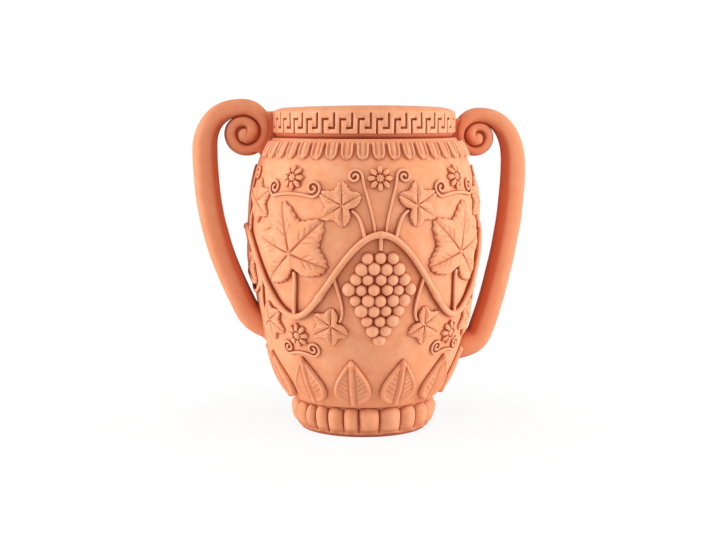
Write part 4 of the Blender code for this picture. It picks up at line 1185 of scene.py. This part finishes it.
def handle_line(handle, shape, wall):
    """The handle's middle line from the wall to the volute's end, as (out, height, half thickness, curl).

    curl says how far the coil has entered the volute.
    """
    wall_radius = wall.radius_at(handle.joint_height)
    joint = Vector((wall_radius - 3.0 * shape.joint_depth, handle.joint_height))
    lead_out = Vector((math.cos(JOINT_RISE), math.sin(JOINT_RISE)))
    knee = Vector((handle.knee_out, handle.knee_height))
    lean = Vector((math.sin(handle.knee_lean), math.cos(handle.knee_lean)))
    crown = Vector((handle.crown_out, handle.crown_height))
    below = crown - Vector((0.0, CROWN_RUN))
    lower = interpolate_bezier(
        joint, joint + lead_out * JOINT_RUN, knee - lean * KNEE_RUN_DOWN, knee, LOWER_STEPS
    )
    upper = interpolate_bezier(knee, knee + lean * KNEE_RUN_UP, below, crown, UPPER_STEPS)
    line = []
    for step, point in enumerate(lower[:-1]):
        flare = (1.0 - step / (LOWER_STEPS - 1)) ** 2.2
        short = max(0.0, 1.0 - (point - joint).length / shape.joint_rounding)
        thickness = (shape.strap + (shape.joint - shape.strap) * flare) * arc(short)
        line.append((point.x, point.y, thickness, 0.0))
    line += [(point.x, point.y, shape.strap, 0.0) for point in upper]
    arch_width = handle.crown_out - handle.volute_out
    arch_rise = handle.volute_height + handle.spiral_start - handle.crown_height
    for step in range(1, ARCH_STEPS):
        share = step / ARCH_STEPS
        angle = RIGHT_ANGLE * share
        out = handle.volute_out + arch_width * math.cos(angle) ** ARCH_FULLNESS
        height = handle.crown_height + arch_rise * math.sin(angle) ** ARCH_FULLNESS
        line.append((out, height, shape.strap + (handle.coil_start - shape.strap) * share, 0.0))
    coil_steps = round(COIL_STEPS_PER_TURN * shape.turns)
    for step in range(coil_steps + 1):
        turns = shape.turns * step / coil_steps
        thickness = handle.coil_start + (handle.coil_end - handle.coil_start) * ease(turns / COIL_CHANGE)
        thickness += (handle.eye - handle.coil_end) * ease((turns - 1.0) / COIL_CHANGE)
        line.append((*spiral_spot(handle, turns), thickness, ease(turns)))
    end = Vector(line[-1][:2])
    last_angle = RIGHT_ANGLE + math.tau * shape.turns
    heading = Vector((-math.sin(last_angle), math.cos(last_angle)))
    for step in range(1, CAP_STEPS + 1):
        swing = RIGHT_ANGLE * step / CAP_STEPS
        spot = end + heading * handle.eye * math.sin(swing)
        line.append((spot.x, spot.y, handle.eye * math.cos(swing), 1.0))
    return line


def handle_stations(handle, shape, wall):
    """Stations of a handle's coil from the wall up, over the arch and round the volute to its eye."""
    line = handle_line(handle, shape, wall)
    stations = []
    for index, (out, height, thickness, curl) in enumerate(line):
        before, after = neighbours(line, index)
        along = Vector((after[0] - before[0], after[1] - before[1])).normalized()
        centre = Vector((handle.side * out, 0.0, height))
        sideways = Vector((handle.side * along.y, 0.0, -along.x)) * thickness
        depth = thickness + VOLUTE_SWELL * curl * min(1.0, thickness / handle.coil_end)
        stations.append((centre, sideways, Vector((0.0, depth, 0.0))))
    return stations


class PLANTER_OT_handles(bpy.types.Operator):
    """Roll the two coil handles, each with its volute and the web that joins it to the shoulder"""

    bl_idname = "planter.handles"
    bl_label = "Make Handles"

    def execute(self, context):
        shape = context.scene.planter_handles
        wall = the_wall()
        for handle in HANDLES:
            builder = bmesh.new()
            joint = Place(handle.side * 90.0, handle.joint_height)
            smear = smear_shape(shape.smear, shape.smear_rise)
            lay_disc(builder, wall, joint, 64, 16, smear, skirt=0.0)
            self.add_coil(builder, handle, shape, wall)
            self.add_web(builder, handle, shape)
            self.add_eye(builder, handle, shape)
            for vert in builder.verts:
                vert.co += stray(vert.co, 0.030, shape.waver)
            self.paint_strap_shade(builder, handle)
            finish_piece("coil_" + handle.name, builder, "handle_clay", handle.name)
        return {"FINISHED"}

    def add_coil(self, builder, handle, shape, wall):
        """Add the coil, and keep its lower end within the wall's thickness."""
        coil = tube(builder, handle_stations(handle, shape, wall), COIL_SIDES, COIL_FULLNESS)
        for vert in coil:
            deepest = wall.radius_at(vert.co.z) - shape.joint_depth
            if vert.co.z < handle.knee_height and vert.co.xy.length < deepest:
                vert.co.xy = vert.co.xy.normalized() * deepest
        bmesh.ops.remove_doubles(builder, verts=coil, dist=MERGE_DISTANCE)

    def add_web(self, builder, handle, shape):
        """Fill the corner between the volute and the shoulder with a soft web of clay."""
        turns = [WEB_FIRST_TURN + WEB_SPAN * step / WEB_CELLS for step in range(WEB_CELLS + 1)]
        spots = [spiral_spot(handle, turn) for turn in turns]
        head = spots[0][1]
        sole = spots[-1][1] - WEB_SOLE
        columns = [
            (out, height, head + (sole - head) * step / WEB_CELLS) for step, (out, height) in enumerate(spots)
        ]
        grid = bmesh.ops.create_grid(builder, x_segments=WEB_CELLS, y_segments=WEB_CELLS, size=1.0)
        web = grid["verts"]
        faces = list(dict.fromkeys(face for vert in web for face in vert.link_faces))
        for vert in web:
            coil_out, coil_height, wall_height = at_grid(columns, vert.co.x)
            row = (vert.co.y + 1.0) / 2.0
            out = WEB_INNER + (coil_out - WEB_INNER) * row
            vert.co = (handle.side * out, 0.0, wall_height + (coil_height - wall_height) * row)
        grown = bmesh.ops.extrude_face_region(builder, geom=faces)
        lifted = [item for item in grown["geom"] if isinstance(item, bmesh.types.BMVert)]
        half = shape.web * handle.coil_end
        bmesh.ops.translate(builder, verts=lifted, vec=(0.0, -half, 0.0))
        bmesh.ops.translate(builder, verts=web, vec=(0.0, half, 0.0))

    def add_eye(self, builder, handle, shape):
        """Close the volute with a disc that lies behind the creases between its turns."""
        spot = Matrix.Translation((handle.side * handle.volute_out, 0.0, handle.volute_height))
        radius = handle.spiral_start - handle.spiral_pitch / 2
        bmesh.ops.create_cone(
            builder,
            cap_ends=True,
            segments=64,
            radius1=radius,
            radius2=radius,
            depth=shape.web * handle.coil_end,
            matrix=spot @ Matrix.Rotation(RIGHT_ANGLE, 4, "X"),
        )

    def paint_strap_shade(self, builder, handle):
        """Paint shade on the strap's side that faces the jar."""
        sheltered = builder.verts.layers.float.new("sheltered")
        bmesh.ops.recalc_face_normals(builder, faces=builder.faces)
        builder.normal_update()
        volute = Vector((handle.side * handle.volute_out, 0.0, handle.volute_height))
        for vert in builder.verts:
            heart = Vector((handle.side * STRAP_SHADE_RADIUS, 0.0, min(vert.co.z, handle.volute_height)))
            towards = -vert.normal.dot((vert.co - heart).normalized())
            off_volute = ease(((vert.co - volute).length - STRAP_SHADE_END) / STRAP_SHADE_FADE)
            vert[sheltered] = ease((towards + 0.15) / 0.9) * off_volute


# Curves of the stem's stalks and tendrils: four corners each, as degrees from the middle of the curve's
# own part of the wave, and height. A tendril's last corner is where its curl begins.
UPPER_LEAF_STALK = ((7.0, 0.2236), (9.0, 0.2400), (9.4, 0.2490), (14.2, 0.2546))
LOWER_LEAF_STALK = ((22.5, 0.1840), (20.0, 0.1680), (15.8, 0.1425), (20.9, 0.1350))
LARGE_LEAF_STALK = ((0.0, 0.1390), (0.0, 0.1550), (-2.9, 0.1770), (-1.7, 0.1895))
SIDE_LEAF_STALK = ((-23.5, 0.1810), (-14.0, 0.1550), (-0.5, 0.1500), (0.0, 0.1725))
CLUSTER_STALK = ((0.0, 0.2290), (0.0, 0.2240), (0.0, 0.2190), (0.0, 0.2110))
CREST_TENDRIL = ((2.5, 0.2277), (3.0, 0.2500), (7.0, 0.2700))

# A curl's place as degrees aside and height, its reach, what it loses in one turn, and its turns.
Curl = namedtuple("Curl", "aside height reach pitch turns")
CREST_CURL = Curl(12.2, 0.2890, 0.0080, 0.0046, 1.60)
UPPER_SCROLL = Curl(12.0, 0.2765, 0.0092, 0.0052, 1.62)
LOWER_SCROLL = Curl(8.6, 0.1035, 0.0082, 0.0047, 1.62)

# Half thickness of the shoots as shares of the tendril's, the share of a shoot that its rounded tips take,
# and the rise of the arch between two scrolls.
STALK_SHARE = 1.12
TENDRIL_SHARE = 0.80
SCROLL_SHARE = 0.78
STOUT_SHARE = 1.15
TIP_SHARE = 0.03
SCROLL_ARCH = 0.0030
SCROLL_ARCH_STEPS = 24
CURL_STEPS_PER_TURN = 40
STEM_CRESTS = 4
STEM_KNOTS = 12
STEM_SIDES = 18
SHOOT_SIDES = 12


class PLANTER_OT_stem(bpy.types.Operator):
    """Lay the vine's stem round the belly, with its stalks and tendrils, and the scrolls by the rosettes"""

    bl_idname = "planter.stem"
    bl_label = "Make Stem"

    def execute(self, context):
        vine = context.scene.planter_vine
        wall = the_wall()
        path = []
        for degrees in range(361):
            azimuth = math.radians(degrees)
            height = vine.stem_height + vine.stem_swing * math.cos(STEM_CRESTS * azimuth)
            path.append((azimuth, wall.length_at(height)))

        def stem_radius(share):
            between_knots = abs(math.sin(share * STEM_KNOTS * math.pi))
            return vine.stem_radius * (0.96 + 0.22 * (1.0 - between_knots) ** 6)

        builder = bmesh.new()
        tube(builder, wall_stations(wall, path, stem_radius), STEM_SIDES)
        for line, thick, thin in self.shoots(vine, wall):
            self.add_shoot(builder, wall, line, thick, thin)
        finish_piece("vine_stem_and_shoots", builder, "relief_clay", "vine_stem")
        builder = bmesh.new()
        scroll_radius = vine.tendril * SCROLL_SHARE
        for _, degrees in CORNERS:
            for scroll in (UPPER_SCROLL, LOWER_SCROLL):
                line = self.scroll_pair(wall, scroll, math.radians(degrees))
                self.add_shoot(builder, wall, line, scroll_radius, scroll_radius)
        finish_piece("scrolls_by_rosettes", builder, "relief_clay")
        return {"FINISHED"}

    def add_shoot(self, builder, wall, line, thick, thin):
        """Add one thin coil with rounded tips."""

        def radius_at(share):
            tip = min(1.0, share / TIP_SHARE, (1.0 - share) / TIP_SHARE)
            return (thick + (thin - thick) * share) * arc(1.0 - tip)

        tube(builder, wall_stations(wall, line, radius_at), SHOOT_SIDES)

    def curve(self, wall, corners, azimuth, sign, steps):
        """A curve on the wall as (azimuth, length) pairs; sign -1 mirrors it."""
        flat = [Vector((math.radians(degrees), height)) for degrees, height in corners]
        spots = interpolate_bezier(*flat, steps)
        return [(azimuth + sign * spot.x, wall.length_at(spot.y)) for spot in spots]

    def curl(self, wall, curl, azimuth, sign, start, way):
        """A spiral on the wall that winds in from its start angle, as (azimuth, length) pairs.

        way is 1 for a spiral that winds against the clock and -1 for one with it.
        """
        line = []
        radius = wall.radius_at(curl.height)
        length = wall.length_at(curl.height)
        steps = round(CURL_STEPS_PER_TURN * curl.turns)
        for step in range(steps + 1):
            turns = curl.turns * step / steps
            angle = start + way * math.tau * turns
            reach = curl.reach - curl.pitch * turns
            across = math.radians(curl.aside) + reach * math.cos(angle) / radius
            line.append((azimuth + sign * across, length + reach * math.sin(angle)))
        return line

    def scroll_pair(self, wall, scroll, azimuth):
        """Two curls joined by a low arch under a rosette, as (azimuth, length) pairs."""
        right = self.curl(wall, scroll, azimuth, 1.0, -RIGHT_ANGLE, 1.0)
        left = self.curl(wall, scroll, azimuth, -1.0, -RIGHT_ANGLE, 1.0)
        arch = []
        for step in range(1, SCROLL_ARCH_STEPS):
            share = step / SCROLL_ARCH_STEPS
            rise = SCROLL_ARCH * math.sin(math.pi * share)
            arch.append((left[0][0] + (right[0][0] - left[0][0]) * share, left[0][1] + rise))
        return left[::-1] + arch + right

    def shoots(self, vine, wall):
        """All stalks and tendrils that grow from the stem, with their half thickness at both ends."""
        thick = vine.tendril * STALK_SHARE
        thin = vine.tendril * TENDRIL_SHARE
        stout = thick * STOUT_SHARE
        entry = math.radians(CREST_CURL.aside) - CREST_CURL.reach / wall.radius_at(CREST_CURL.height)
        tendril = (*CREST_TENDRIL, (math.degrees(entry), CREST_CURL.height))
        found = []
        for _, degrees in QUARTERS:
            crest = math.radians(degrees)
            for sign in (-1.0, 1.0):
                found.append((self.curve(wall, UPPER_LEAF_STALK, crest, sign, 24), thick, thin))
                found.append((self.curve(wall, LOWER_LEAF_STALK, crest, sign, 30), thick, thin))
                line = self.curve(wall, tendril, crest, sign, 30)
                line += self.curl(wall, CREST_CURL, crest, sign, math.pi, -1.0)[1:]
                found.append((line, thin, thin))
        for _, degrees in CORNERS:
            azimuth = math.radians(degrees)
            sign = math.copysign(1.0, math.sin(2.0 * azimuth))
            found.append((self.curve(wall, LARGE_LEAF_STALK, azimuth, sign, 24), stout, thick))
        for sign in (-1.0, 1.0):
            found.append((self.curve(wall, SIDE_LEAF_STALK, sign * RIGHT_ANGLE, sign, 30), thick, thin))
        for _, degrees in FRONT_AND_BACK:
            found.append((self.curve(wall, CLUSTER_STALK, math.radians(degrees), 1.0, 16), stout, thick))
        return found


# Heights of the leaves' middles, how far the small ones stand aside from the stem's crests, and how far
# the leaves are turned from upright, angles in degrees.
LARGE_LEAF_HEIGHT = 0.207
LARGE_LEAF_TURN = 12.0
SIDE_LEAF_HEIGHT = 0.184
UPPER_LEAF_HEIGHT = 0.259
UPPER_LEAF_ASIDE = 18.0
UPPER_LEAF_TURN = 62.0
LOWER_LEAF_HEIGHT = 0.131
LOWER_LEAF_ASIDE = 24.5
LOWER_LEAF_TURN = 118.0


class PLANTER_OT_leaves(bpy.types.Operator):
    """Press the vine leaves on to the wall"""

    bl_idname = "planter.leaves"
    bl_label = "Make Leaves"

    def execute(self, context):
        vine = context.scene.planter_vine
        wall = the_wall()
        large = leaf_shape(vine.large_leaf, vine.large_relief, 44)
        side = leaf_shape(vine.side_leaf, vine.side_relief, 38)
        upper = leaf_shape(vine.upper_leaf, vine.small_relief, 32)
        lower = leaf_shape(vine.lower_leaf, vine.small_relief, 32)
        for name, degrees in CORNERS:
            turn = math.copysign(LARGE_LEAF_TURN, math.sin(math.radians(2.0 * degrees)))
            place = Place(degrees, LARGE_LEAF_HEIGHT, turn)
            press_sprig(wall, "veined_", "large_leaf_" + name, place, 200, 30, large)
        for name, degrees in LEFT_AND_RIGHT:
            place = Place(degrees, SIDE_LEAF_HEIGHT)
            press_sprig(wall, "veined_", "side_leaf_" + name, place, 160, 22, side)
        for name, crest in QUARTERS:
            for hand, sign in (("a", -1.0), ("b", 1.0)):
                place = Place(crest + sign * UPPER_LEAF_ASIDE, UPPER_LEAF_HEIGHT, sign * UPPER_LEAF_TURN)
                press_sprig(wall, "veined_", f"upper_leaf_{name}_{hand}", place, 128, 18, upper)
                place = Place(crest + sign * LOWER_LEAF_ASIDE, LOWER_LEAF_HEIGHT, sign * LOWER_LEAF_TURN)
                press_sprig(wall, "veined_", f"lower_leaf_{name}_{hand}", place, 128, 18, lower)
        return {"FINISHED"}


# Height of the clusters' middles, how far the middle grapes stand off the wall, what is lost towards the
# cluster's edge, and how far the grapes stray from their places.
CLUSTER_HEIGHT = 0.160
GRAPE_OFF = 0.0034
GRAPE_FALL = 0.0030
GRAPE_STRAY_OFF = 0.0005
GRAPE_STRAY = 0.0006
GRAPE_SEED = 11


class PLANTER_OT_clusters(bpy.types.Operator):
    """Set the grape clusters on the wall"""

    bl_idname = "planter.clusters"
    bl_label = "Make Grape Clusters"

    def execute(self, context):
        vine = context.scene.planter_vine
        wall = the_wall()
        width, length = vine.cluster_width, vine.cluster_length
        middle = wall.length_at(CLUSTER_HEIGHT)
        for name, degrees in FRONT_AND_BACK:
            builder = bmesh.new()
            mound = mound_shape(width, length)
            lay_disc(builder, wall, Place(degrees, CLUSTER_HEIGHT), 64, 8, mound, skirt=0.9)
            chance = random.Random(GRAPE_SEED)
            for across, up in cluster_spots(width, length, vine.grape):
                outwards = math.hypot(across / width, up / length)
                size = vine.grape * chance.uniform(0.90, 1.06)
                off = GRAPE_OFF - GRAPE_FALL * outwards + chance.uniform(-GRAPE_STRAY_OFF, GRAPE_STRAY_OFF)
                across += chance.uniform(-GRAPE_STRAY, GRAPE_STRAY)
                up += chance.uniform(-GRAPE_STRAY, GRAPE_STRAY)
                spot = Matrix.Translation(wall.lay(math.radians(degrees), middle + up, across, off))
                bmesh.ops.create_icosphere(builder, subdivisions=3, radius=size, matrix=spot)
            finish_piece("grapes_" + name, builder, "relief_clay", "grape_cluster_" + name)
        return {"FINISHED"}


UPPER_ROSETTE_HEIGHT = 0.287
LOWER_ROSETTE_HEIGHT = 0.118


class PLANTER_OT_rosettes(bpy.types.Operator):
    """Press the rosettes above and below the vine"""

    bl_idname = "planter.rosettes"
    bl_label = "Make Rosettes"

    def execute(self, context):
        wall = the_wall()
        flower = rosette_shape(context.scene.planter_vine.rosette)
        rows = (
            ("upper_rosette_", UPPER_ROSETTE_HEIGHT, CORNERS),
            ("lower_rosette_", LOWER_ROSETTE_HEIGHT, CORNERS),
            ("upper_rosette_", UPPER_ROSETTE_HEIGHT, FRONT_AND_BACK),
        )
        for row, height, sides in rows:
            for name, degrees in sides:
                press_sprig(wall, "petalled_", row + name, Place(degrees, height), 128, 20, flower)
        return {"FINISHED"}


CALYX_COUNT = 12
CALYX_HEIGHT = 0.0655


class PLANTER_OT_calyx(bpy.types.Operator):
    """Set the ring of pointed leaves above the foot"""

    bl_idname = "planter.calyx"
    bl_label = "Make Calyx"

    def execute(self, context):
        vine = context.scene.planter_vine
        wall = the_wall()
        blade = calyx_shape(vine.calyx_width, vine.calyx_length)
        for index in range(CALYX_COUNT):
            place = Place(360.0 / CALYX_COUNT * (index + 0.5), CALYX_HEIGHT)
            press_sprig(wall, "ribbed_", f"calyx_leaf_{index + 1:02d}", place, 96, 20, blade)
        return {"FINISHED"}


# Number of tongues in a row, the columns and rows of each one's mesh, the height of their roots, and the
# relief of a tongue's body, rolled edge and groove.
TONGUE_COUNT = 19
TONGUE_COLUMNS = 14
TONGUE_ROWS = 16
TONGUE_HEIGHT = 0.3235
TONGUE_RELIEF = 0.0030
TONGUE_ROLL = 0.0012
TONGUE_GROOVE = 0.0011


class PLANTER_OT_tongues(bpy.types.Operator):
    """Hang the rows of tongues under the collar"""

    bl_idname = "planter.tongues"
    bl_label = "Make Tongues"

    def execute(self, context):
        vine = context.scene.planter_vine
        wall = the_wall()
        pitch = vine.tongue_width / context.scene.planter_jar.shoulder_radius
        for name, degrees in FRONT_AND_BACK:
            builder = bmesh.new()
            hollow = builder.verts.layers.float.new("hollow")
            for tongue in range(TONGUE_COUNT):
                azimuth = math.radians(degrees) + (tongue - (TONGUE_COUNT - 1) / 2) * pitch
                grid = bmesh.ops.create_grid(
                    builder, x_segments=TONGUE_COLUMNS, y_segments=TONGUE_ROWS, size=1.0
                )
                for vert in grid["verts"]:
                    down = (1.0 - vert.co.y) / 2.0
                    spot, depth = self.tongue_point(wall, vine, azimuth, vert.co.x, down)
                    vert[hollow] = depth
                    vert.co = spot
            finish_piece("tongues_" + name, builder, "relief_clay", "tongue_band_" + name)
        return {"FINISHED"}

    def tongue_point(self, wall, vine, azimuth, side, down):
        """A point of one tongue: side runs from -1 to 1 and down from 0 at its root to 1 at its tip."""
        rounding = arc(max(0.0, (down - 0.55) / 0.45))
        across = side * vine.tongue_width / 2 * (0.06 + 0.90 * rounding)
        edge = max(abs(side), ease((down - 0.90) / 0.10), ease((0.04 - down) / 0.04))
        roll = bell(abs(side) - 0.72, 0.16) * (1.0 - ease((down - 0.93) / 0.07))
        groove = bell(abs(side) - 0.42, 0.12) * (1.0 - ease((down - 0.72) / 0.12))
        body = TONGUE_RELIEF + TONGUE_ROLL * roll - TONGUE_GROOVE * groove
        off = -SKIRT_DEPTH if edge > 0.999 else body * arc(max(0.0, (edge - 0.80) / 0.20))
        length = wall.length_at(TONGUE_HEIGHT) - vine.tongue_length * down
        # The second value is painted shade in the tongue's grooves.
        return wall.lay(azimuth, length, across, off), 0.6 * groove


# Soft lights: each one's place to the right of, ahead of and above the point that the camera looks at, its
# width and height, and the setting that holds its power.
Light = namedtuple("Light", "name right ahead above size power")
LIGHTS = (
    Light("side_light", -1.1, -0.16, 0.10, (0.8, 0.8), "side_power"),
    Light("side_light", 1.1, -0.16, 0.10, (0.8, 0.8), "side_power"),
    Light("top_light", 0.0, -0.45, 1.25, (1.2, 0.9), "top_power"),
    Light("front_light", 0.0, -1.4, 0.55, (1.0, 0.8), "front_power"),
    Light("back_light", 0.0, 1.4, 0.55, (1.0, 0.8), "front_power"),
)
WHITE = (1.0, 1.0, 1.0, 1.0)
AMBIENT_COLOUR = (1.0, 0.93, 0.88, 1.0)

# The floor's half size, the share of plain white that the camera sees close to the pot, and the distances
# between which that rises to all white.
FLOOR_SIZE = 6.0
FLOOR_WHITE = 0.88
SHADOW_START = 0.12
SHADOW_END = 0.36


class PLANTER_OT_stage(bpy.types.Operator):
    """Set the floor, the light and the camera"""

    bl_idname = "planter.stage"
    bl_label = "Make Stage"

    def execute(self, context):
        look = context.scene.planter_stage
        context.scene.view_settings.view_transform = "Standard"
        self.make_world(context, look)
        self.make_floor(context, look)
        right = Vector((math.cos(look.yaw), math.sin(look.yaw), 0.0))
        ahead = Vector((-math.sin(look.yaw), math.cos(look.yaw), 0.0))
        middle = Vector((0.0, 0.0, look.aim_height))
        for light in LIGHTS:
            offset = right * light.right + ahead * light.ahead + Vector((0.0, 0.0, light.above))
            lamp = bpy.data.lights.new(light.name, "AREA")
            lamp.shape = "RECTANGLE"
            lamp.size, lamp.size_y = light.size
            lamp.energy = getattr(look, light.power)
            self.aim(context, light.name, lamp, middle + offset, middle)
        view = bpy.data.cameras.new("camera")
        view.sensor_width = 36.0
        view.lens = look.focal_length
        view.clip_start = 0.05
        spot = Vector((0.0, 0.0, look.camera_height)) - ahead * look.distance
        context.scene.camera = self.aim(context, "camera", view, spot, middle + right * look.aim_aside)
        return {"FINISHED"}

    def aim(self, context, name, content, spot, target):
        """Set a lamp or camera at a spot, facing a target."""
        aimed = bpy.data.objects.new(name, content)
        aimed.location = spot
        aimed.rotation_euler = (target - spot).to_track_quat("-Z", "Y").to_euler()
        context.scene.collection.objects.link(aimed)
        return aimed

    def white_rays(self, graph):
        """1 for the rays that should see a plain white ground."""
        mask = graph.add("ShaderNodeLightPath", output="Is Camera Ray")
        outputs = mask.socket.node.outputs
        for name in ("Is Glossy Ray", "Is Transmission Ray"):
            mask = mask.calculate("MAXIMUM", mask, Value(graph, outputs[name]))
        return mask

    def make_world(self, context, look):
        """Even light, and plain white where the camera sees past the pot."""
        world = bpy.data.worlds.new("studio")
        context.scene.world = world
        graph = Graph(world)
        soft = graph.add("ShaderNodeBackground", None, {"Color": AMBIENT_COLOUR, "Strength": look.ambient})
        white = graph.add("ShaderNodeBackground", None, {"Color": WHITE, "Strength": 1.0})
        mixed = graph.add("ShaderNodeMixShader", None, {0: self.white_rays(graph), 1: soft, 2: white})
        graph.add("ShaderNodeOutputWorld", None, {"Surface": mixed})

    def make_floor(self, context, look):
        """A pale floor that keeps a soft shadow."""
        builder = bmesh.new()
        bmesh.ops.create_grid(builder, x_segments=1, y_segments=1, size=FLOOR_SIZE)
        mesh = bpy.data.meshes.new("floor")
        builder.to_mesh(mesh)
        builder.free()
        material = bpy.data.materials.new("pale_floor")
        graph = Graph(material)
        matt = graph.add("ShaderNodeBsdfDiffuse", None, {"Color": tuple(look.floor)})
        white = graph.add("ShaderNodeEmission", None, {"Color": WHITE, "Strength": 1.0})
        place = graph.add("ShaderNodeTexCoord", output="Object")
        away = graph.add("ShaderNodeVectorMath", {"operation": "LENGTH"}, {0: place}, "Value")
        lit = FLOOR_WHITE + (1.0 - FLOOR_WHITE) * graph.step(away, SHADOW_START, SHADOW_END)
        share = self.white_rays(graph) * lit
        mixed = graph.add("ShaderNodeMixShader", None, {0: share, 1: matt, 2: white})
        graph.add("ShaderNodeOutputMaterial", None, {"Surface": mixed})
        mesh.materials.append(material)
        floor = bpy.data.objects.new("floor", mesh)
        context.scene.collection.objects.link(floor)


MAKERS = (
    PLANTER_OT_stage,
    PLANTER_OT_jar,
    PLANTER_OT_collar,
    PLANTER_OT_foot,
    PLANTER_OT_handles,
    PLANTER_OT_stem,
    PLANTER_OT_leaves,
    PLANTER_OT_clusters,
    PLANTER_OT_rosettes,
    PLANTER_OT_calyx,
    PLANTER_OT_tongues,
)


class PLANTER_PT_panel(bpy.types.Panel):
    """Lists the planter's operators in the order in which they are made"""

    bl_idname = "PLANTER_PT_panel"
    bl_label = "Amphora Planter"
    bl_space_type = "VIEW_3D"
    bl_region_type = "UI"
    bl_category = "Planter"

    def draw(self, context):
        for maker in MAKERS:
            self.layout.operator(maker.bl_idname)


SETTINGS = {
    "planter_jar": JarShape,
    "planter_collar": CollarShape,
    "planter_foot": FootShape,
    "planter_handles": HandleShape,
    "planter_vine": VineShape,
    "planter_clay": ClayLook,
    "planter_stage": StageLook,
}


def register():
    """Add the settings, operators and panel to Blender."""
    for name, group in SETTINGS.items():
        bpy.utils.register_class(group)
        setattr(bpy.types.Scene, name, PointerProperty(type=group))
    for kind in (*MAKERS, PLANTER_PT_panel):
        bpy.utils.register_class(kind)


def unregister():
    """Take the panel, operators and settings out again."""
    for kind in (PLANTER_PT_panel, *reversed(MAKERS)):
        bpy.utils.unregister_class(kind)
    for name, group in reversed(SETTINGS.items()):
        delattr(bpy.types.Scene, name)
        bpy.utils.unregister_class(group)


def main():
    """Make every piece."""
    register()
    bpy.ops.planter.stage()
    bpy.ops.planter.jar()
    bpy.ops.planter.collar()
    bpy.ops.planter.foot()
    bpy.ops.planter.handles()
    bpy.ops.planter.stem()
    bpy.ops.planter.leaves()
    bpy.ops.planter.clusters()
    bpy.ops.planter.rosettes()
    bpy.ops.planter.calyx()
    bpy.ops.planter.tongues()
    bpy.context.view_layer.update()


if __name__ == "__main__":
    main()
